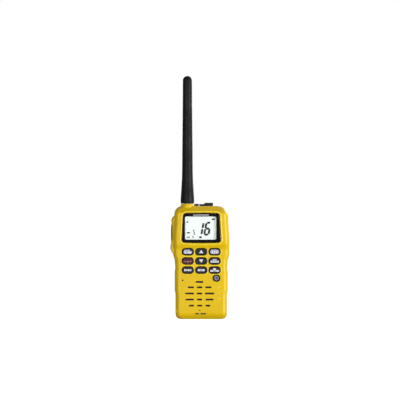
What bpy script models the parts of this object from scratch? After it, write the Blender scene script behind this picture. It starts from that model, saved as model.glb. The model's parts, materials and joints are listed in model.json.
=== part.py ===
"""A floating two-way handheld radio: yellow front shell, black rear shell, battery pack, belt clip and whip antenna.

Metres, +Z up. The front faces -Y, +X is to the right in the front view, and the origin is the centre of the flat base.
"""

import math

import bmesh
import bpy
from mathutils import Vector

# ---------------------------------------------------------------- driving sizes
GAP = 0.0003                      # clearance kept between neighbouring pieces
WALL = 0.0020                     # shell wall

BODY_TOP = 0.1303
SEAM_Y = 0.0040                   # rim of the front shell
REAR_RIM_Y = 0.0058               # rim of the rear shell, with the seal showing between the rims
FACE_Y = -0.0176                  # keypad and speaker face
DISPLAY_Y = -0.0200               # raised display face
BACK_Y = 0.0180
BASE_CORNER = 0.0060              # radius of the base corners in the front view
TOP_CORNER = 0.0115               # radius of the right shoulder
LEFT_TOP_CORNER = 0.0080          # the left shoulder, beside the antenna, is tighter
TOP_BACK_RADIUS = 0.0083
FRONT_CORNER = 0.0055             # radius of the upright edges at the front
BACK_CORNER = 0.0062
CORNER_STEPS = 5
CAVITY_LOW = 0.0022
CAVITY_HIGH = BODY_TOP - 0.0022
CAVITY_FRONT_Y = FACE_Y + WALL

# Half width of the body against height: a waist under the keypad, pads where the hand closes, shoulders above.
WIDTH_PROFILE = (
    (0.0000, 0.0297), (0.0280, 0.0297), (0.0340, 0.0306), (0.0540, 0.0306), (0.0600, 0.0300),
    (0.0660, 0.0304), (0.0760, 0.0325), (0.0900, 0.0325), (0.1180, 0.0311), (BODY_TOP, 0.0303),
)
DISPLAY_TOP_Z = 0.1226
FRONT_PROFILE = (
    (0.0000, -0.0123), (0.0053, FACE_Y), (0.0816, FACE_Y), (0.0857, DISPLAY_Y),
    (DISPLAY_TOP_Z, DISPLAY_Y), (BODY_TOP, -0.0085),
)
BACK_PROFILE = ((0.0000, 0.0125), (0.0035, 0.0146), (0.0080, 0.0163), (0.0150, BACK_Y), (BODY_TOP, BACK_Y))

# Display
LENS_LOW_Z, LENS_HIGH_Z = 0.0886, 0.1220
LENS_LOW_HALF, LENS_HIGH_HALF = 0.02235, 0.02085
LENS_CORNER = 0.0030
LENS_ARCH = 0.0006                # how far the top and bottom edges of the lens bow outwards
WINDOW_CENTRE = (-0.0007, 0.10515)
WINDOW_SIZE = (0.0359, 0.0267)
LENS_FRONT_Y = DISPLAY_Y - 0.0004
LENS_BACK_Y = LENS_FRONT_Y + 0.0016

# Keys
KEY_COLUMNS = (-0.0154, 0.0, 0.0154)
KEY_ROWS = (0.0779, 0.0673, 0.0568)
KEY_SIZE = (0.0129, 0.0080)
KEY_CORNER = 0.0035
KEY_NAMES = (
    ("key_call", "key_up", "key_light"),
    ("key_distress", "key_down", "key_weather"),
    ("key_scan", "key_memory", "key_lock"),
)
KEY_FRONT_Y = FACE_Y - 0.0014
KEY_FLANGE = 0.0008
POWER_CENTRE = (0.0177, 0.0476)
POWER_RADIUS = 0.0040

# Sound
SPEAKER_CENTRE = (-0.0020, 0.0295)
SPEAKER_RADIUS = 0.0165
SLOT_HEIGHT = 0.0015
# Each row of speaker slots: height, then the left and right end of every slot.
SLOT_ROWS = (
    (0.0432, (-0.0062, 0.0021)),
    (0.0370, (-0.0153, -0.0086), (-0.0048, 0.0010), (0.0048, 0.0115)),
    (0.0299, (-0.0183, -0.0086), (-0.0050, 0.0008), (0.0045, 0.0146)),
    (0.0229, (-0.0179, -0.0086), (-0.0048, 0.0008), (0.0050, 0.0139)),
    (0.0159, (-0.0141, -0.0086), (-0.0046, 0.0010), (0.0050, 0.0101)),
)
MIC_CENTRE = (-0.0214, 0.0451)
MIC_HOLE_RADIUS = 0.0009

# Push-to-talk button on the left side
PTT_CENTRE = (-0.0055, 0.0984)    # Y, Z
PTT_SIZE = (0.0131, 0.0296)
PTT_CORNER = 0.0040
PTT_OUTER_X = -0.0350
PTT_RIM = 0.0019                  # width of the raised rim round the button
# Outer face of the moulding that carries the button: height, distance out from the middle plane.
PTT_MOULDING = (
    (0.0650, 0.0296), (0.0700, 0.0309), (0.0750, 0.0330), (0.0790, 0.0350), (0.0832, 0.0356),
    (0.0880, 0.0347), (0.0984, 0.0339), (0.1094, 0.0341), (0.1140, 0.0343), (0.1172, 0.0336), (0.1186, 0.0318),
)

# Antenna
ANTENNA_AXIS = (-0.0159, -0.0035)
BOSS_RADIUS = 0.0075
BOSS_TOP = 0.1329
ANTENNA_BASE_Z = 0.13325
ANTENNA_TIP_Z = 0.2807
ANTENNA_OUTLINE = (
    (0.00795, ANTENNA_BASE_Z), (0.0079, 0.1385), (0.00735, 0.1460), (0.0068, 0.1550),
    (0.0063, 0.1645), (0.00615, 0.1740), (0.00605, 0.1920), (0.00575, 0.2200),
    (0.0055, 0.2480), (0.00535, 0.2755),
)
PLUG_RADIUS = 0.0054
SOCKET_RADIUS = 0.00315
ROUND_STEPS = 24

# Jacks and their cover
JACK_Y = 0.0098
SPEAKER_JACK_X, MIC_JACK_X = 0.0090, 0.0015
COVER_HINGE_X, COVER_HINGE_Z = -0.00245, 0.1327
COVER_Y = (0.0030, 0.0132)

# Battery pack
BAY_TOP = 0.0742
TRAY_Y = 0.0086                   # back face of the rear shell in the battery bay
PACK_FRONT_Y = 0.0092
PACK_LOW, PACK_HIGH = 0.0006, 0.0738
PACK_SIDE_INSET = 0.0005
PACK_CAVITY = ((-0.0255, 0.0080, 0.0166), (0.0255, 0.0163, 0.0710))
RAIL_X = 0.0277                   # T rails that guide the pack
CONTACT_X, CONTACT_Z = 0.0060, 0.0660
LATCH_SPRING_Y = 0.0149

# Screws
BODY_SCREWS = ((-0.0256, 0.0100), (0.0256, 0.0100), (-0.0256, 0.1190), (0.0256, 0.1190))
SCREW_POST_RADIUS = 0.0028
SCREW_RADIUS = 0.0011

# Belt clip
CLIP_PIN_Y, CLIP_PIN_Z = 0.0204, 0.1130
CLIP_TOP, CLIP_BLOCK_LOW, CLIP_END = 0.1185, 0.0970, 0.0437
CLIP_HALF_WIDTH = 0.0089
CLIP_CHEEK = (0.0093, 0.0115)
CLIP_ARM_THICKNESS = 0.0024
# Outer face of the clip arm against height: straight down past the body's waist, then bowed in.
CLIP_OUTER = (
    (0.0248, CLIP_TOP), (0.0248, 0.0740), (0.0245, 0.0640), (0.0239, 0.0540), (0.0228, CLIP_END),
)
CLIP_SCREWS_X, CLIP_SCREWS_Z = 0.0055, 0.1005

# ---------------------------------------------------------------- materials
FINISHES = {
    # name: (colour, roughness, metallic)
    "yellow_plastic": ((0.83, 0.50, 0.01), 0.42, 0.0),
    "black_plastic": ((0.018, 0.020, 0.023), 0.50, 0.0),
    "gloss_black": ((0.010, 0.011, 0.013), 0.16, 0.0),
    "clear_window": ((0.86, 0.90, 0.92), 0.08, 0.0),
    "lcd_glass": ((0.74, 0.77, 0.78), 0.30, 0.0),
    "backlight": ((0.90, 0.91, 0.88), 0.45, 0.0),
    "key_black": ((0.016, 0.017, 0.020), 0.50, 0.0),
    "key_red": ((0.12, 0.012, 0.012), 0.48, 0.0),
    "rubber": ((0.020, 0.021, 0.023), 0.78, 0.0),
    "seal_rubber": ((0.012, 0.012, 0.013), 0.85, 0.0),
    "grey_silicone": ((0.32, 0.33, 0.34), 0.80, 0.0),
    "circuit_board": ((0.02, 0.15, 0.06), 0.45, 0.0),
    "tinned_steel": ((0.60, 0.61, 0.62), 0.30, 1.0),
    "dark_steel": ((0.10, 0.10, 0.11), 0.38, 1.0),
    "spring_steel": ((0.55, 0.55, 0.56), 0.28, 1.0),
    "brass": ((0.75, 0.56, 0.24), 0.30, 1.0),
    "magnet": ((0.16, 0.16, 0.17), 0.42, 1.0),
    "paper_cone": ((0.045, 0.043, 0.042), 0.85, 0.0),
    "acoustic_cloth": ((0.015, 0.015, 0.016), 0.95, 0.0),
    "cell_wrap": ((0.05, 0.16, 0.42), 0.35, 0.0),
}


def make_finishes():
    """One Principled material for each finish."""
    made = {}
    for name, (colour, roughness, metallic) in FINISHES.items():
        material = bpy.data.materials.new(name)
        material.use_nodes = True
        shader = material.node_tree.nodes["Principled BSDF"]
        shader.inputs["Base Color"].default_value = (*colour, 1.0)
        shader.inputs["Roughness"].default_value = roughness
        shader.inputs["Metallic"].default_value = metallic
        material.diffuse_color = (*colour, 1.0)
        made[name] = material
    return made


# ---------------------------------------------------------------- scene helpers
def clear_scene():
    for obj in list(bpy.data.objects):
        bpy.data.objects.remove(obj, do_unlink=True)


def place(name, shape, finish, origin=(0.0, 0.0, 0.0), smooth_deg=32.0):
    """Turn a bmesh drawn in world coordinates into an object whose origin is at the given point."""
    bmesh.ops.translate(shape, verts=shape.verts, vec=-Vector(origin))
    bmesh.ops.recalc_face_normals(shape, faces=shape.faces)
    mesh = bpy.data.meshes.new(name)
    shape.to_mesh(mesh)
    shape.free()
    mesh.shade_smooth()
    mesh.set_sharp_from_angle(angle=math.radians(smooth_deg))
    mesh.materials.append(MATERIALS[finish])
    obj = bpy.data.objects.new(name, mesh)
    obj.location = origin
    bpy.context.scene.collection.objects.link(obj)
    return obj


def combine(obj, shape, operation):
    """Add a Boolean of a helper shape to an object, and hide the helper."""
    helper = place(f"{obj.name}_helper_{len(obj.modifiers) + 1}", shape, "seal_rubber")
    helper.hide_render = True
    helper.display_type = "WIRE"
    modifier = obj.modifiers.new(operation.lower(), "BOOLEAN")
    modifier.operation = operation
    modifier.solver = "EXACT"
    modifier.object = helper


def cut(obj, shape):
    combine(obj, shape, "DIFFERENCE")


def add(obj, shape):
    combine(obj, shape, "UNION")


# ---------------------------------------------------------------- outlines (lists of 2D points)
def rounded_rectangle(centre, size, radius, steps=4):
    half = (size[0] / 2 - radius, size[1] / 2 - radius)
    points = []
    for quarter, (sx, sy) in enumerate(((1, 1), (-1, 1), (-1, -1), (1, -1))):
        for i in range(steps + 1):
            angle = math.radians(90 * quarter + 90 * i / steps)
            points.append((
                centre[0] + sx * half[0] + radius * math.cos(angle),
                centre[1] + sy * half[1] + radius * math.sin(angle),
            ))
    return points


def circle(centre, radius, steps=16):
    turn = 2 * math.pi / steps
    return [(centre[0] + radius * math.cos(i * turn), centre[1] + radius * math.sin(i * turn)) for i in range(steps)]


def rectangle(low, high):
    return [(low[0], low[1]), (high[0], low[1]), (high[0], high[1]), (low[0], high[1])]


def lens_outline(grow=0.0):
    """The lens seen from the front: wider at the bottom, with round corners and bowed top and bottom edges."""
    radius = LENS_CORNER + grow
    low, high = LENS_LOW_Z - grow, LENS_HIGH_Z + grow
    points = []
    for quarter, (sx, z, half) in enumerate((
        (1, high, LENS_HIGH_HALF), (-1, high, LENS_HIGH_HALF), (-1, low, LENS_LOW_HALF), (1, low, LENS_LOW_HALF),
    )):
        up = 1 if quarter < 2 else -1
        middle = (sx * (half + grow - radius), z - up * radius)
        corner = []
        for i in range(5):
            angle = math.radians(90 * quarter + 22.5 * i)
            corner.append((middle[0] + radius * math.cos(angle), middle[1] + radius * math.sin(angle)))
        edge = [(sx * half * step, z) for step in (0.6, 0.3)]
        points += corner + edge if quarter in (0, 2) else edge[::-1] + corner
    centre_z = (low + high) / 2
    bowed = []
    for x, z in points:
        up = 1 if z > centre_z else -1
        near_edge = min(1.0, abs(z - centre_z) / (high - centre_z))
        bowed.append((x, z + up * LENS_ARCH * near_edge ** 8 * (1 - (x / LENS_LOW_HALF) ** 2)))
    return bowed


# ---------------------------------------------------------------- shapes (they add themselves to a bmesh)
def put(axis, u, v, along):
    """A world point from a 2D outline point and a distance along the axis the outline faces."""
    if axis == "X":
        return Vector((along, u, v))
    if axis == "Y":
        return Vector((u, along, v))
    return Vector((u, v, along))


def loft(shape, rings):
    """Skin closed rings that have the same number of points, with flat ends."""
    loops = [[shape.verts.new(point) for point in ring] for ring in rings]
    count = len(loops[0])
    for lower, upper in zip(loops, loops[1:]):
        for i in range(count):
            after = (i + 1) % count
            shape.faces.new((lower[i], lower[after], upper[after], upper[i]))
    shape.faces.new(loops[0][::-1])
    shape.faces.new(loops[-1])


def prism(shape, axis, outline, start, end):
    """Extrude an outline along an axis."""
    face = shape.faces.new([shape.verts.new(put(axis, u, v, start)) for u, v in outline])
    grown = bmesh.ops.extrude_face_region(shape, geom=[face], use_keep_orig=True)
    moved = [item for item in grown["geom"] if isinstance(item, bmesh.types.BMVert)]
    bmesh.ops.translate(shape, verts=moved, vec=put(axis, 0, 0, end - start))


def box(shape, low, high):
    prism(shape, "Z", rectangle(low[:2], high[:2]), low[2], high[2])


def stepped(shape, axis, levels):
    """Skin outlines placed along an axis; each level is (distance along, outline)."""
    loft(shape, [[put(axis, u, v, along) for u, v in outline] for along, outline in levels])


def turned(shape, axis, centre, profile, steps=ROUND_STEPS):
    """Turn a profile of (radius, distance along) about an axis through the centre; radius 0 closes an end."""
    turn = 2 * math.pi / steps
    rings = []
    for radius, along in profile:
        if radius == 0:
            rings.append([shape.verts.new(put(axis, centre[0], centre[1], along))])
            continue
        rings.append([
            shape.verts.new(put(
                axis,
                centre[0] + radius * math.cos(i * turn),
                centre[1] + radius * math.sin(i * turn),
                along,
            ))
            for i in range(steps)
        ])
    closed = profile[0][0] != 0
    pairs = list(zip(rings, rings[1:])) + ([(rings[-1], rings[0])] if closed else [])
    for lower, upper in pairs:
        for i in range(steps):
            after = (i + 1) % steps
            corners = [lower[i % len(lower)], lower[after % len(lower)], upper[after % len(upper)], upper[i % len(upper)]]
            shape.faces.new(list(dict.fromkeys(corners)))


def cylinder(shape, axis, centre, radius, start, end, steps=16):
    prism(shape, axis, circle(centre, radius, steps), start, end)


def frame(shape, axis, outer, inner, start, end):
    """A flat ring between two outlines that have the same number of points."""
    loops = [
        [shape.verts.new(put(axis, u, v, along)) for u, v in outline]
        for outline, along in ((outer, start), (outer, end), (inner, end), (inner, start))
    ]
    count = len(outer)
    for lower, upper in zip(loops, loops[1:] + loops[:1]):
        for i in range(count):
            after = (i + 1) % count
            shape.faces.new((lower[i], lower[after], upper[after], upper[i]))


def wire(shape, points, radius, sides=6):
    """A round wire along a path of points, with flat ends."""
    rings = []
    side = None
    for i, point in enumerate(points):
        ahead = (points[min(i + 1, len(points) - 1)] - points[max(i - 1, 0)]).normalized()
        if side is None:
            side = ahead.orthogonal().normalized()
        side = (side - ahead * side.dot(ahead)).normalized()
        other = ahead.cross(side)
        rings.append([
            point + radius * (side * math.cos(2 * math.pi * k / sides) + other * math.sin(2 * math.pi * k / sides))
            for k in range(sides)
        ])
    loft(shape, rings)


# ---------------------------------------------------------------- the body's outer form
def along_profile(profile, z, eased=False):
    """The value of a profile of (z, value) points at a height."""
    for (z0, v0), (z1, v1) in zip(profile, profile[1:]):
        if z <= z1:
            share = min(max((z - z0) / (z1 - z0), 0.0), 1.0)
            if eased:
                share = share * share * (3 - 2 * share)
            return v0 + (v1 - v0) * share
    return profile[-1][1]


def corner_inset(radius, depth_into_corner):
    """How far a round corner of this radius has come in, this far past where it starts."""
    depth = min(max(depth_into_corner, 0.0), radius)
    return radius - math.sqrt(radius * radius - depth * depth)


def half_width(z):
    inset = corner_inset(BASE_CORNER, BASE_CORNER - z) + corner_inset(TOP_CORNER, z - (BODY_TOP - TOP_CORNER))
    return along_profile(WIDTH_PROFILE, z, eased=True) - inset


def left_share(z):
    """The half width on the left as a share of the one on the right; they differ only at the shoulders."""
    right = half_width(z)
    gained = corner_inset(TOP_CORNER, z - (BODY_TOP - TOP_CORNER))
    lost = corner_inset(LEFT_TOP_CORNER, z - (BODY_TOP - LEFT_TOP_CORNER))
    return (right + gained - lost) / right


def front_y(z):
    return along_profile(FRONT_PROFILE, z)


def back_y(z):
    return along_profile(BACK_PROFILE, z) - corner_inset(TOP_BACK_RADIUS, z - (BODY_TOP - TOP_BACK_RADIUS))


def levels(low=0.0, high=BODY_TOP, near=0.0006):
    """Heights at which the outer form changes, between two limits."""
    wanted = [low, high]
    wanted += [z for profile in (FRONT_PROFILE, BACK_PROFILE, WIDTH_PROFILE) for z, _ in profile]
    for angle in (22.5, 45.0, 67.5):
        wanted.append(BASE_CORNER * (1 - math.sin(math.radians(angle))))
        wanted.append(BODY_TOP - TOP_CORNER * (1 - math.sin(math.radians(angle))))
    for (z0, _), (z1, _) in zip(WIDTH_PROFILE[1:], WIDTH_PROFILE[2:7]):
        wanted.append((z0 + z1) / 2)
    kept = []
    for z in wanted:
        if low <= z <= high and all(abs(z - other) > near for other in kept):
            kept.append(z)
    return sorted(kept)


def shell_ring(z, rim_y, face_y, half, corner):
    """One level of a shell: square at the rim, round at the two corners of its face."""
    facing = 1 if face_y > rim_y else -1
    radius = min(corner, 0.8 * abs(face_y - rim_y), 0.8 * half)
    points = [Vector((half, rim_y, z))]
    left = -left_share(z)
    for side, order in ((1, range(CORNER_STEPS + 1)), (left, range(CORNER_STEPS, -1, -1))):
        for i in order:
            angle = math.radians(90 * i / CORNER_STEPS)
            points.append(Vector((
                side * (half - radius + radius * math.cos(angle)),
                face_y - facing * radius * (1 - math.sin(angle)),
                z,
            )))
    points.append(Vector((left * half, rim_y, z)))
    return points


def front_form():
    shape = bmesh.new()
    loft(shape, [shell_ring(z, SEAM_Y, front_y(z), half_width(z), FRONT_CORNER) for z in levels()])
    return shape


def front_cavity():
    shape = bmesh.new()
    rings = []
    for z in levels(CAVITY_LOW, CAVITY_HIGH):
        face = max(CAVITY_FRONT_Y, front_y(z) + WALL)
        rings.append(shell_ring(z, SEAM_Y + WALL, face, half_width(z) - WALL, FRONT_CORNER - WALL))
    loft(shape, rings)
    return shape


def rear_form(low=0.0, high=BODY_TOP, side_inset=0.0, back_inset=0.0, rim_y=REAR_RIM_Y):
    shape = bmesh.new()
    rings = [
        shell_ring(z, rim_y, back_y(z) - back_inset, half_width(z) - side_inset, BACK_CORNER)
        for z in levels(low, high)
    ]
    loft(shape, rings)
    return shape


def rear_upper_cavity():
    shape = bmesh.new()
    rings = [
        shell_ring(z, SEAM_Y, back_y(z) - WALL, half_width(z) - WALL, BACK_CORNER - WALL)
        for z in levels(BAY_TOP + WALL, CAVITY_HIGH)
    ]
    loft(shape, rings)
    return shape


def rear_lower_cavity():
    shape = bmesh.new()
    rings = [
        shell_ring(z, SEAM_Y, TRAY_Y - WALL, half_width(z) - WALL, WALL)
        for z in levels(CAVITY_LOW, BAY_TOP + 1.5 * WALL)
    ]
    loft(shape, rings)
    return shape


# ---------------------------------------------------------------- housing
def speaker_slots():
    """Every speaker slot as an outline, with round ends."""
    for z, *slots in SLOT_ROWS:
        for left, right in slots:
            yield rounded_rectangle(((left + right) / 2, z), (right - left, SLOT_HEIGHT), 0.0007, steps=2)


def key_places():
    for names, z in zip(KEY_NAMES, KEY_ROWS):
        for name, x in zip(names, KEY_COLUMNS):
            yield name, x, z


def ptt_moulding():
    """The raised moulding round the push-to-talk button."""
    shape = bmesh.new()
    half_depth = PTT_SIZE[0] / 2 + PTT_RIM
    rings = []
    for z, out in PTT_MOULDING:
        inner = half_width(z) - 0.0010
        out = max(out, inner + 0.0004)
        chamfer = min(0.0022, 0.6 * (out - inner))
        middle = PTT_CENTRE[0]
        rings.append([
            Vector((-inner, middle - half_depth, z)),
            Vector((-out + chamfer, middle - half_depth, z)),
            Vector((-out + 0.25 * chamfer, middle - half_depth + 0.35 * chamfer, z)),
            Vector((-out, middle - half_depth + chamfer, z)),
            Vector((-out, middle + half_depth - chamfer, z)),
            Vector((-out + 0.25 * chamfer, middle + half_depth - 0.35 * chamfer, z)),
            Vector((-out + chamfer, middle + half_depth, z)),
            Vector((-inner, middle + half_depth, z)),
        ])
    loft(shape, rings)
    return shape


def front_case():
    case = place("front_case", front_form(), "yellow_plastic")
    cut(case, front_cavity())
    add(case, ptt_moulding())

    boss = bmesh.new()
    turned(boss, "Z", ANTENNA_AXIS, (
        (0, 0.1268), (BOSS_RADIUS, 0.1268), (BOSS_RADIUS, BOSS_TOP - 0.0004), (BOSS_RADIUS - 0.0004, BOSS_TOP), (0, BOSS_TOP),
    ))
    add(case, boss)

    posts = bmesh.new()
    for x, z in BODY_SCREWS:
        cylinder(posts, "Y", (x, z), SCREW_POST_RADIUS, CAVITY_FRONT_Y - 0.0005, SEAM_Y - 0.0002, steps=12)
    add(case, posts)

    openings = bmesh.new()
    prism(openings, "Y", lens_outline(GAP), DISPLAY_Y - 0.002, LENS_BACK_Y + GAP)
    for _, x, z in key_places():
        size = (KEY_SIZE[0] + 2 * GAP, KEY_SIZE[1] + 2 * GAP)
        prism(openings, "Y", rounded_rectangle((x, z), size, KEY_CORNER + GAP), FACE_Y - 0.002, CAVITY_FRONT_Y + 0.001)
    cylinder(openings, "Y", POWER_CENTRE, POWER_RADIUS + 0.00025, FACE_Y - 0.002, CAVITY_FRONT_Y + 0.001)
    for outline in speaker_slots():
        prism(openings, "Y", outline, FACE_Y - 0.002, CAVITY_FRONT_Y + 0.001)
    cylinder(openings, "Y", MIC_CENTRE, MIC_HOLE_RADIUS, FACE_Y - 0.002, CAVITY_FRONT_Y + 0.001, steps=8)
    for x, z in BODY_SCREWS:
        cylinder(openings, "Y", (x, z), SCREW_RADIUS + GAP, -0.0080, SEAM_Y + 0.001, steps=8)
    cut(case, openings)

    through = bmesh.new()
    prism(through, "Y", rounded_rectangle(WINDOW_CENTRE, (0.0371, 0.0279), 0.0012, 2), DISPLAY_Y - 0.003, CAVITY_FRONT_Y + 0.001)
    ptt_size = (PTT_SIZE[0] + 2 * GAP, PTT_SIZE[1] + 2 * GAP)
    prism(through, "X", rounded_rectangle(PTT_CENTRE, ptt_size, PTT_CORNER + GAP), -0.0400, -0.0270)
    cylinder(through, "Z", ANTENNA_AXIS, SOCKET_RADIUS + 0.00035, 0.1260, BOSS_TOP + 0.001)
    cut(case, through)

    groove = bmesh.new()
    turned(groove, "Z", ANTENNA_AXIS, ((0.0046, 0.1318), (0.0066, 0.1318), (0.0066, 0.1335), (0.0046, 0.1335)))
    cut(case, groove)
    return case


def t_rail(x, head_half, stem_half, head_y, stem_y):
    """A T outline in plan: a narrow stem with a wider head behind it."""
    return [
        (x - stem_half, stem_y), (x + stem_half, stem_y), (x + stem_half, head_y[0]), (x + head_half, head_y[0]),
        (x + head_half, head_y[1]), (x - head_half, head_y[1]), (x - head_half, head_y[0]), (x - stem_half, head_y[0]),
    ]


def rear_case():
    case = place("rear_case", rear_form(), "black_plastic")
    cut(case, rear_upper_cavity())
    cut(case, rear_lower_cavity())
    bay = bmesh.new()
    box(bay, (-0.040, TRAY_Y, -0.005), (0.040, 0.030, BAY_TOP))
    cut(case, bay)

    additions = bmesh.new()
    for x, z in BODY_SCREWS:
        end = TRAY_Y - 0.0001 if z < BAY_TOP else BACK_Y - 0.0010
        cylinder(additions, "Y", (x, z), SCREW_POST_RADIUS + 0.0004, REAR_RIM_Y + 0.0001, end, steps=12)
    for side in (-1, 1):
        outline = t_rail(side * RAIL_X, 0.0008, 0.0004, (0.0100, 0.0113), TRAY_Y - 0.0004)
        prism(additions, "Z", outline, 0.0150, 0.0715)
    add(case, additions)

    openings = bmesh.new()
    for x, z in BODY_SCREWS:
        seat = 0.0066 if z < BAY_TOP else 0.0120
        turned(openings, "Y", (x, z), (
            (0, 0.0040), (SCREW_RADIUS + GAP, 0.0040), (SCREW_RADIUS + GAP, seat), (0.0025, seat), (0.0025, 0.0190), (0, 0.0190),
        ), steps=12)
    for side in (-1, 1):
        cylinder(openings, "Y", (side * CONTACT_X, CONTACT_Z), 0.0013, 0.0050, 0.0100, steps=10)
        cylinder(openings, "Y", (side * CLIP_SCREWS_X, CLIP_SCREWS_Z), 0.0013, 0.0150, 0.0190, steps=8)
    cylinder(openings, "Z", (SPEAKER_JACK_X, JACK_Y), 0.0033, 0.1270, 0.1320)
    cylinder(openings, "Z", (MIC_JACK_X, JACK_Y), 0.0029, 0.1270, 0.1320)
    cylinder(openings, "Z", (-0.0054, 0.0085), 0.0013, 0.1270, 0.1320, steps=8)
    cut(case, openings)
    return case


def case_seal():
    """The rubber seal that shows as a dark line between the shells."""
    def outline(inset):
        heights = [inset + z * (BODY_TOP - 2 * inset) / BODY_TOP for z in levels()]
        right = [(half_width(z) - inset, h) for z, h in zip(levels(), heights)]
        return right + [(-left_share(z) * x, z) for x, z in reversed(right)]

    shape = bmesh.new()
    frame(shape, "Y", outline(0.0007), outline(0.0026), SEAM_Y + GAP, REAR_RIM_Y - GAP)
    place("case_seal", shape, "seal_rubber")


def body_screws():
    for number, (x, z) in enumerate(BODY_SCREWS, start=1):
        seat = 0.0066 if z < BAY_TOP else 0.0120
        head = seat + GAP
        shape = bmesh.new()
        turned(shape, "Y", (x, z), (
            (0, -0.0072), (SCREW_RADIUS, -0.0066), (SCREW_RADIUS, head), (0.0021, head),
            (0.0021, head + 0.0009), (0.0014, head + 0.0014), (0, head + 0.0014),
        ), steps=12)
        place(f"case_screw_{number}", shape, "dark_steel")


# ---------------------------------------------------------------- display
def display():
    bezel = bmesh.new()
    bevel = 0.0004
    stepped(bezel, "Y", (
        (LENS_BACK_Y, lens_outline()), (LENS_FRONT_Y + bevel, lens_outline()), (LENS_FRONT_Y, lens_outline(-bevel)),
    ))
    bezel = place("lens_bezel", bezel, "gloss_black")
    opening = bmesh.new()
    prism(opening, "Y", rounded_rectangle(WINDOW_CENTRE, WINDOW_SIZE, 0.0015, 3), LENS_FRONT_Y - 0.001, LENS_BACK_Y + 0.001)
    cut(bezel, opening)

    window = bmesh.new()
    size = (WINDOW_SIZE[0] - 2 * GAP, WINDOW_SIZE[1] - 2 * GAP)
    prism(window, "Y", rounded_rectangle(WINDOW_CENTRE, size, 0.0012, 3), LENS_FRONT_Y + GAP, LENS_BACK_Y)
    place("display_window", window, "clear_window")

    panel = bmesh.new()
    prism(panel, "Y", rounded_rectangle(WINDOW_CENTRE, (0.0365, 0.0273), 0.0006, 1), -0.0182, -0.0166)
    place("lcd_panel", panel, "lcd_glass")

    light = bmesh.new()
    prism(light, "Y", rounded_rectangle(WINDOW_CENTRE, (0.0400, 0.0310), 0.0010, 1), CAVITY_FRONT_Y + GAP, -0.0125)
    place("lcd_backlight", light, "backlight")


# ---------------------------------------------------------------- keypad
def key_shape(centre, size, corner, flange_grow, steps=4):
    """A key cap with a rounded front edge, and the flange that keeps it behind the face."""
    def outline(grow):
        return rounded_rectangle(centre, (size[0] + 2 * grow, size[1] + 2 * grow), corner + grow, steps)

    flange_front = CAVITY_FRONT_Y + GAP
    shape = bmesh.new()
    stepped(shape, "Y", (
        (flange_front + KEY_FLANGE, outline(flange_grow)), (flange_front, outline(flange_grow)), (flange_front, outline(0)),
        (KEY_FRONT_Y + 0.0006, outline(0)), (KEY_FRONT_Y + 0.00018, outline(-0.00022)), (KEY_FRONT_Y, outline(-0.0008)),
    ))
    return shape


def keypad_outline(shrink=0.0):
    """The mat and its board: a rectangle with a tongue under the power key."""
    return [
        (-0.0235 + shrink, 0.0503 + shrink), (0.0105 + shrink, 0.0503 + shrink), (0.0105 + shrink, 0.0425 + shrink),
        (0.0235 - shrink, 0.0425 + shrink), (0.0235 - shrink, 0.0832 - shrink), (-0.0235 + shrink, 0.0832 - shrink),
    ]


def keypad():
    for name, x, z in key_places():
        finish = "key_red" if name == "key_distress" else "key_black"
        place(name, key_shape((x, z), KEY_SIZE, KEY_CORNER, 0.0005), finish, origin=(x, KEY_FRONT_Y, z))
    power_size = (2 * POWER_RADIUS, 2 * POWER_RADIUS)
    power = key_shape(POWER_CENTRE, power_size, POWER_RADIUS - 0.00001, 0.0005)
    place("power_key", power, "key_black", origin=(POWER_CENTRE[0], KEY_FRONT_Y, POWER_CENTRE[1]))

    mat = bmesh.new()
    prism(mat, "Y", keypad_outline(), -0.0134, -0.0126)
    mat = place("keypad_mat", mat, "grey_silicone")
    pips = bmesh.new()
    for x, z in [(x, z) for _, x, z in key_places()] + [POWER_CENTRE]:
        cylinder(pips, "Y", (x, z), 0.0016, -0.0136, -0.0130, steps=6)
    add(mat, pips)

    board = bmesh.new()
    prism(board, "Y", keypad_outline(0.0006), -0.0122, -0.0110)
    place("keypad_board", board, "circuit_board")


# ---------------------------------------------------------------- boards
def boards():
    board = bmesh.new()
    box(board, (-0.0218, -0.0065, 0.0070), (0.0218, -0.0049, 0.1190))
    place("main_board", board, "circuit_board")

    can = bmesh.new()
    box(can, (-0.0180, -0.0046, 0.0840), (0.0180, -0.0010, 0.1140))
    can = place("rf_shield", can, "tinned_steel")
    hollow = bmesh.new()
    box(hollow, (-0.0174, -0.0060, 0.0846), (0.0174, -0.0016, 0.1134))
    cut(can, hollow)


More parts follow.
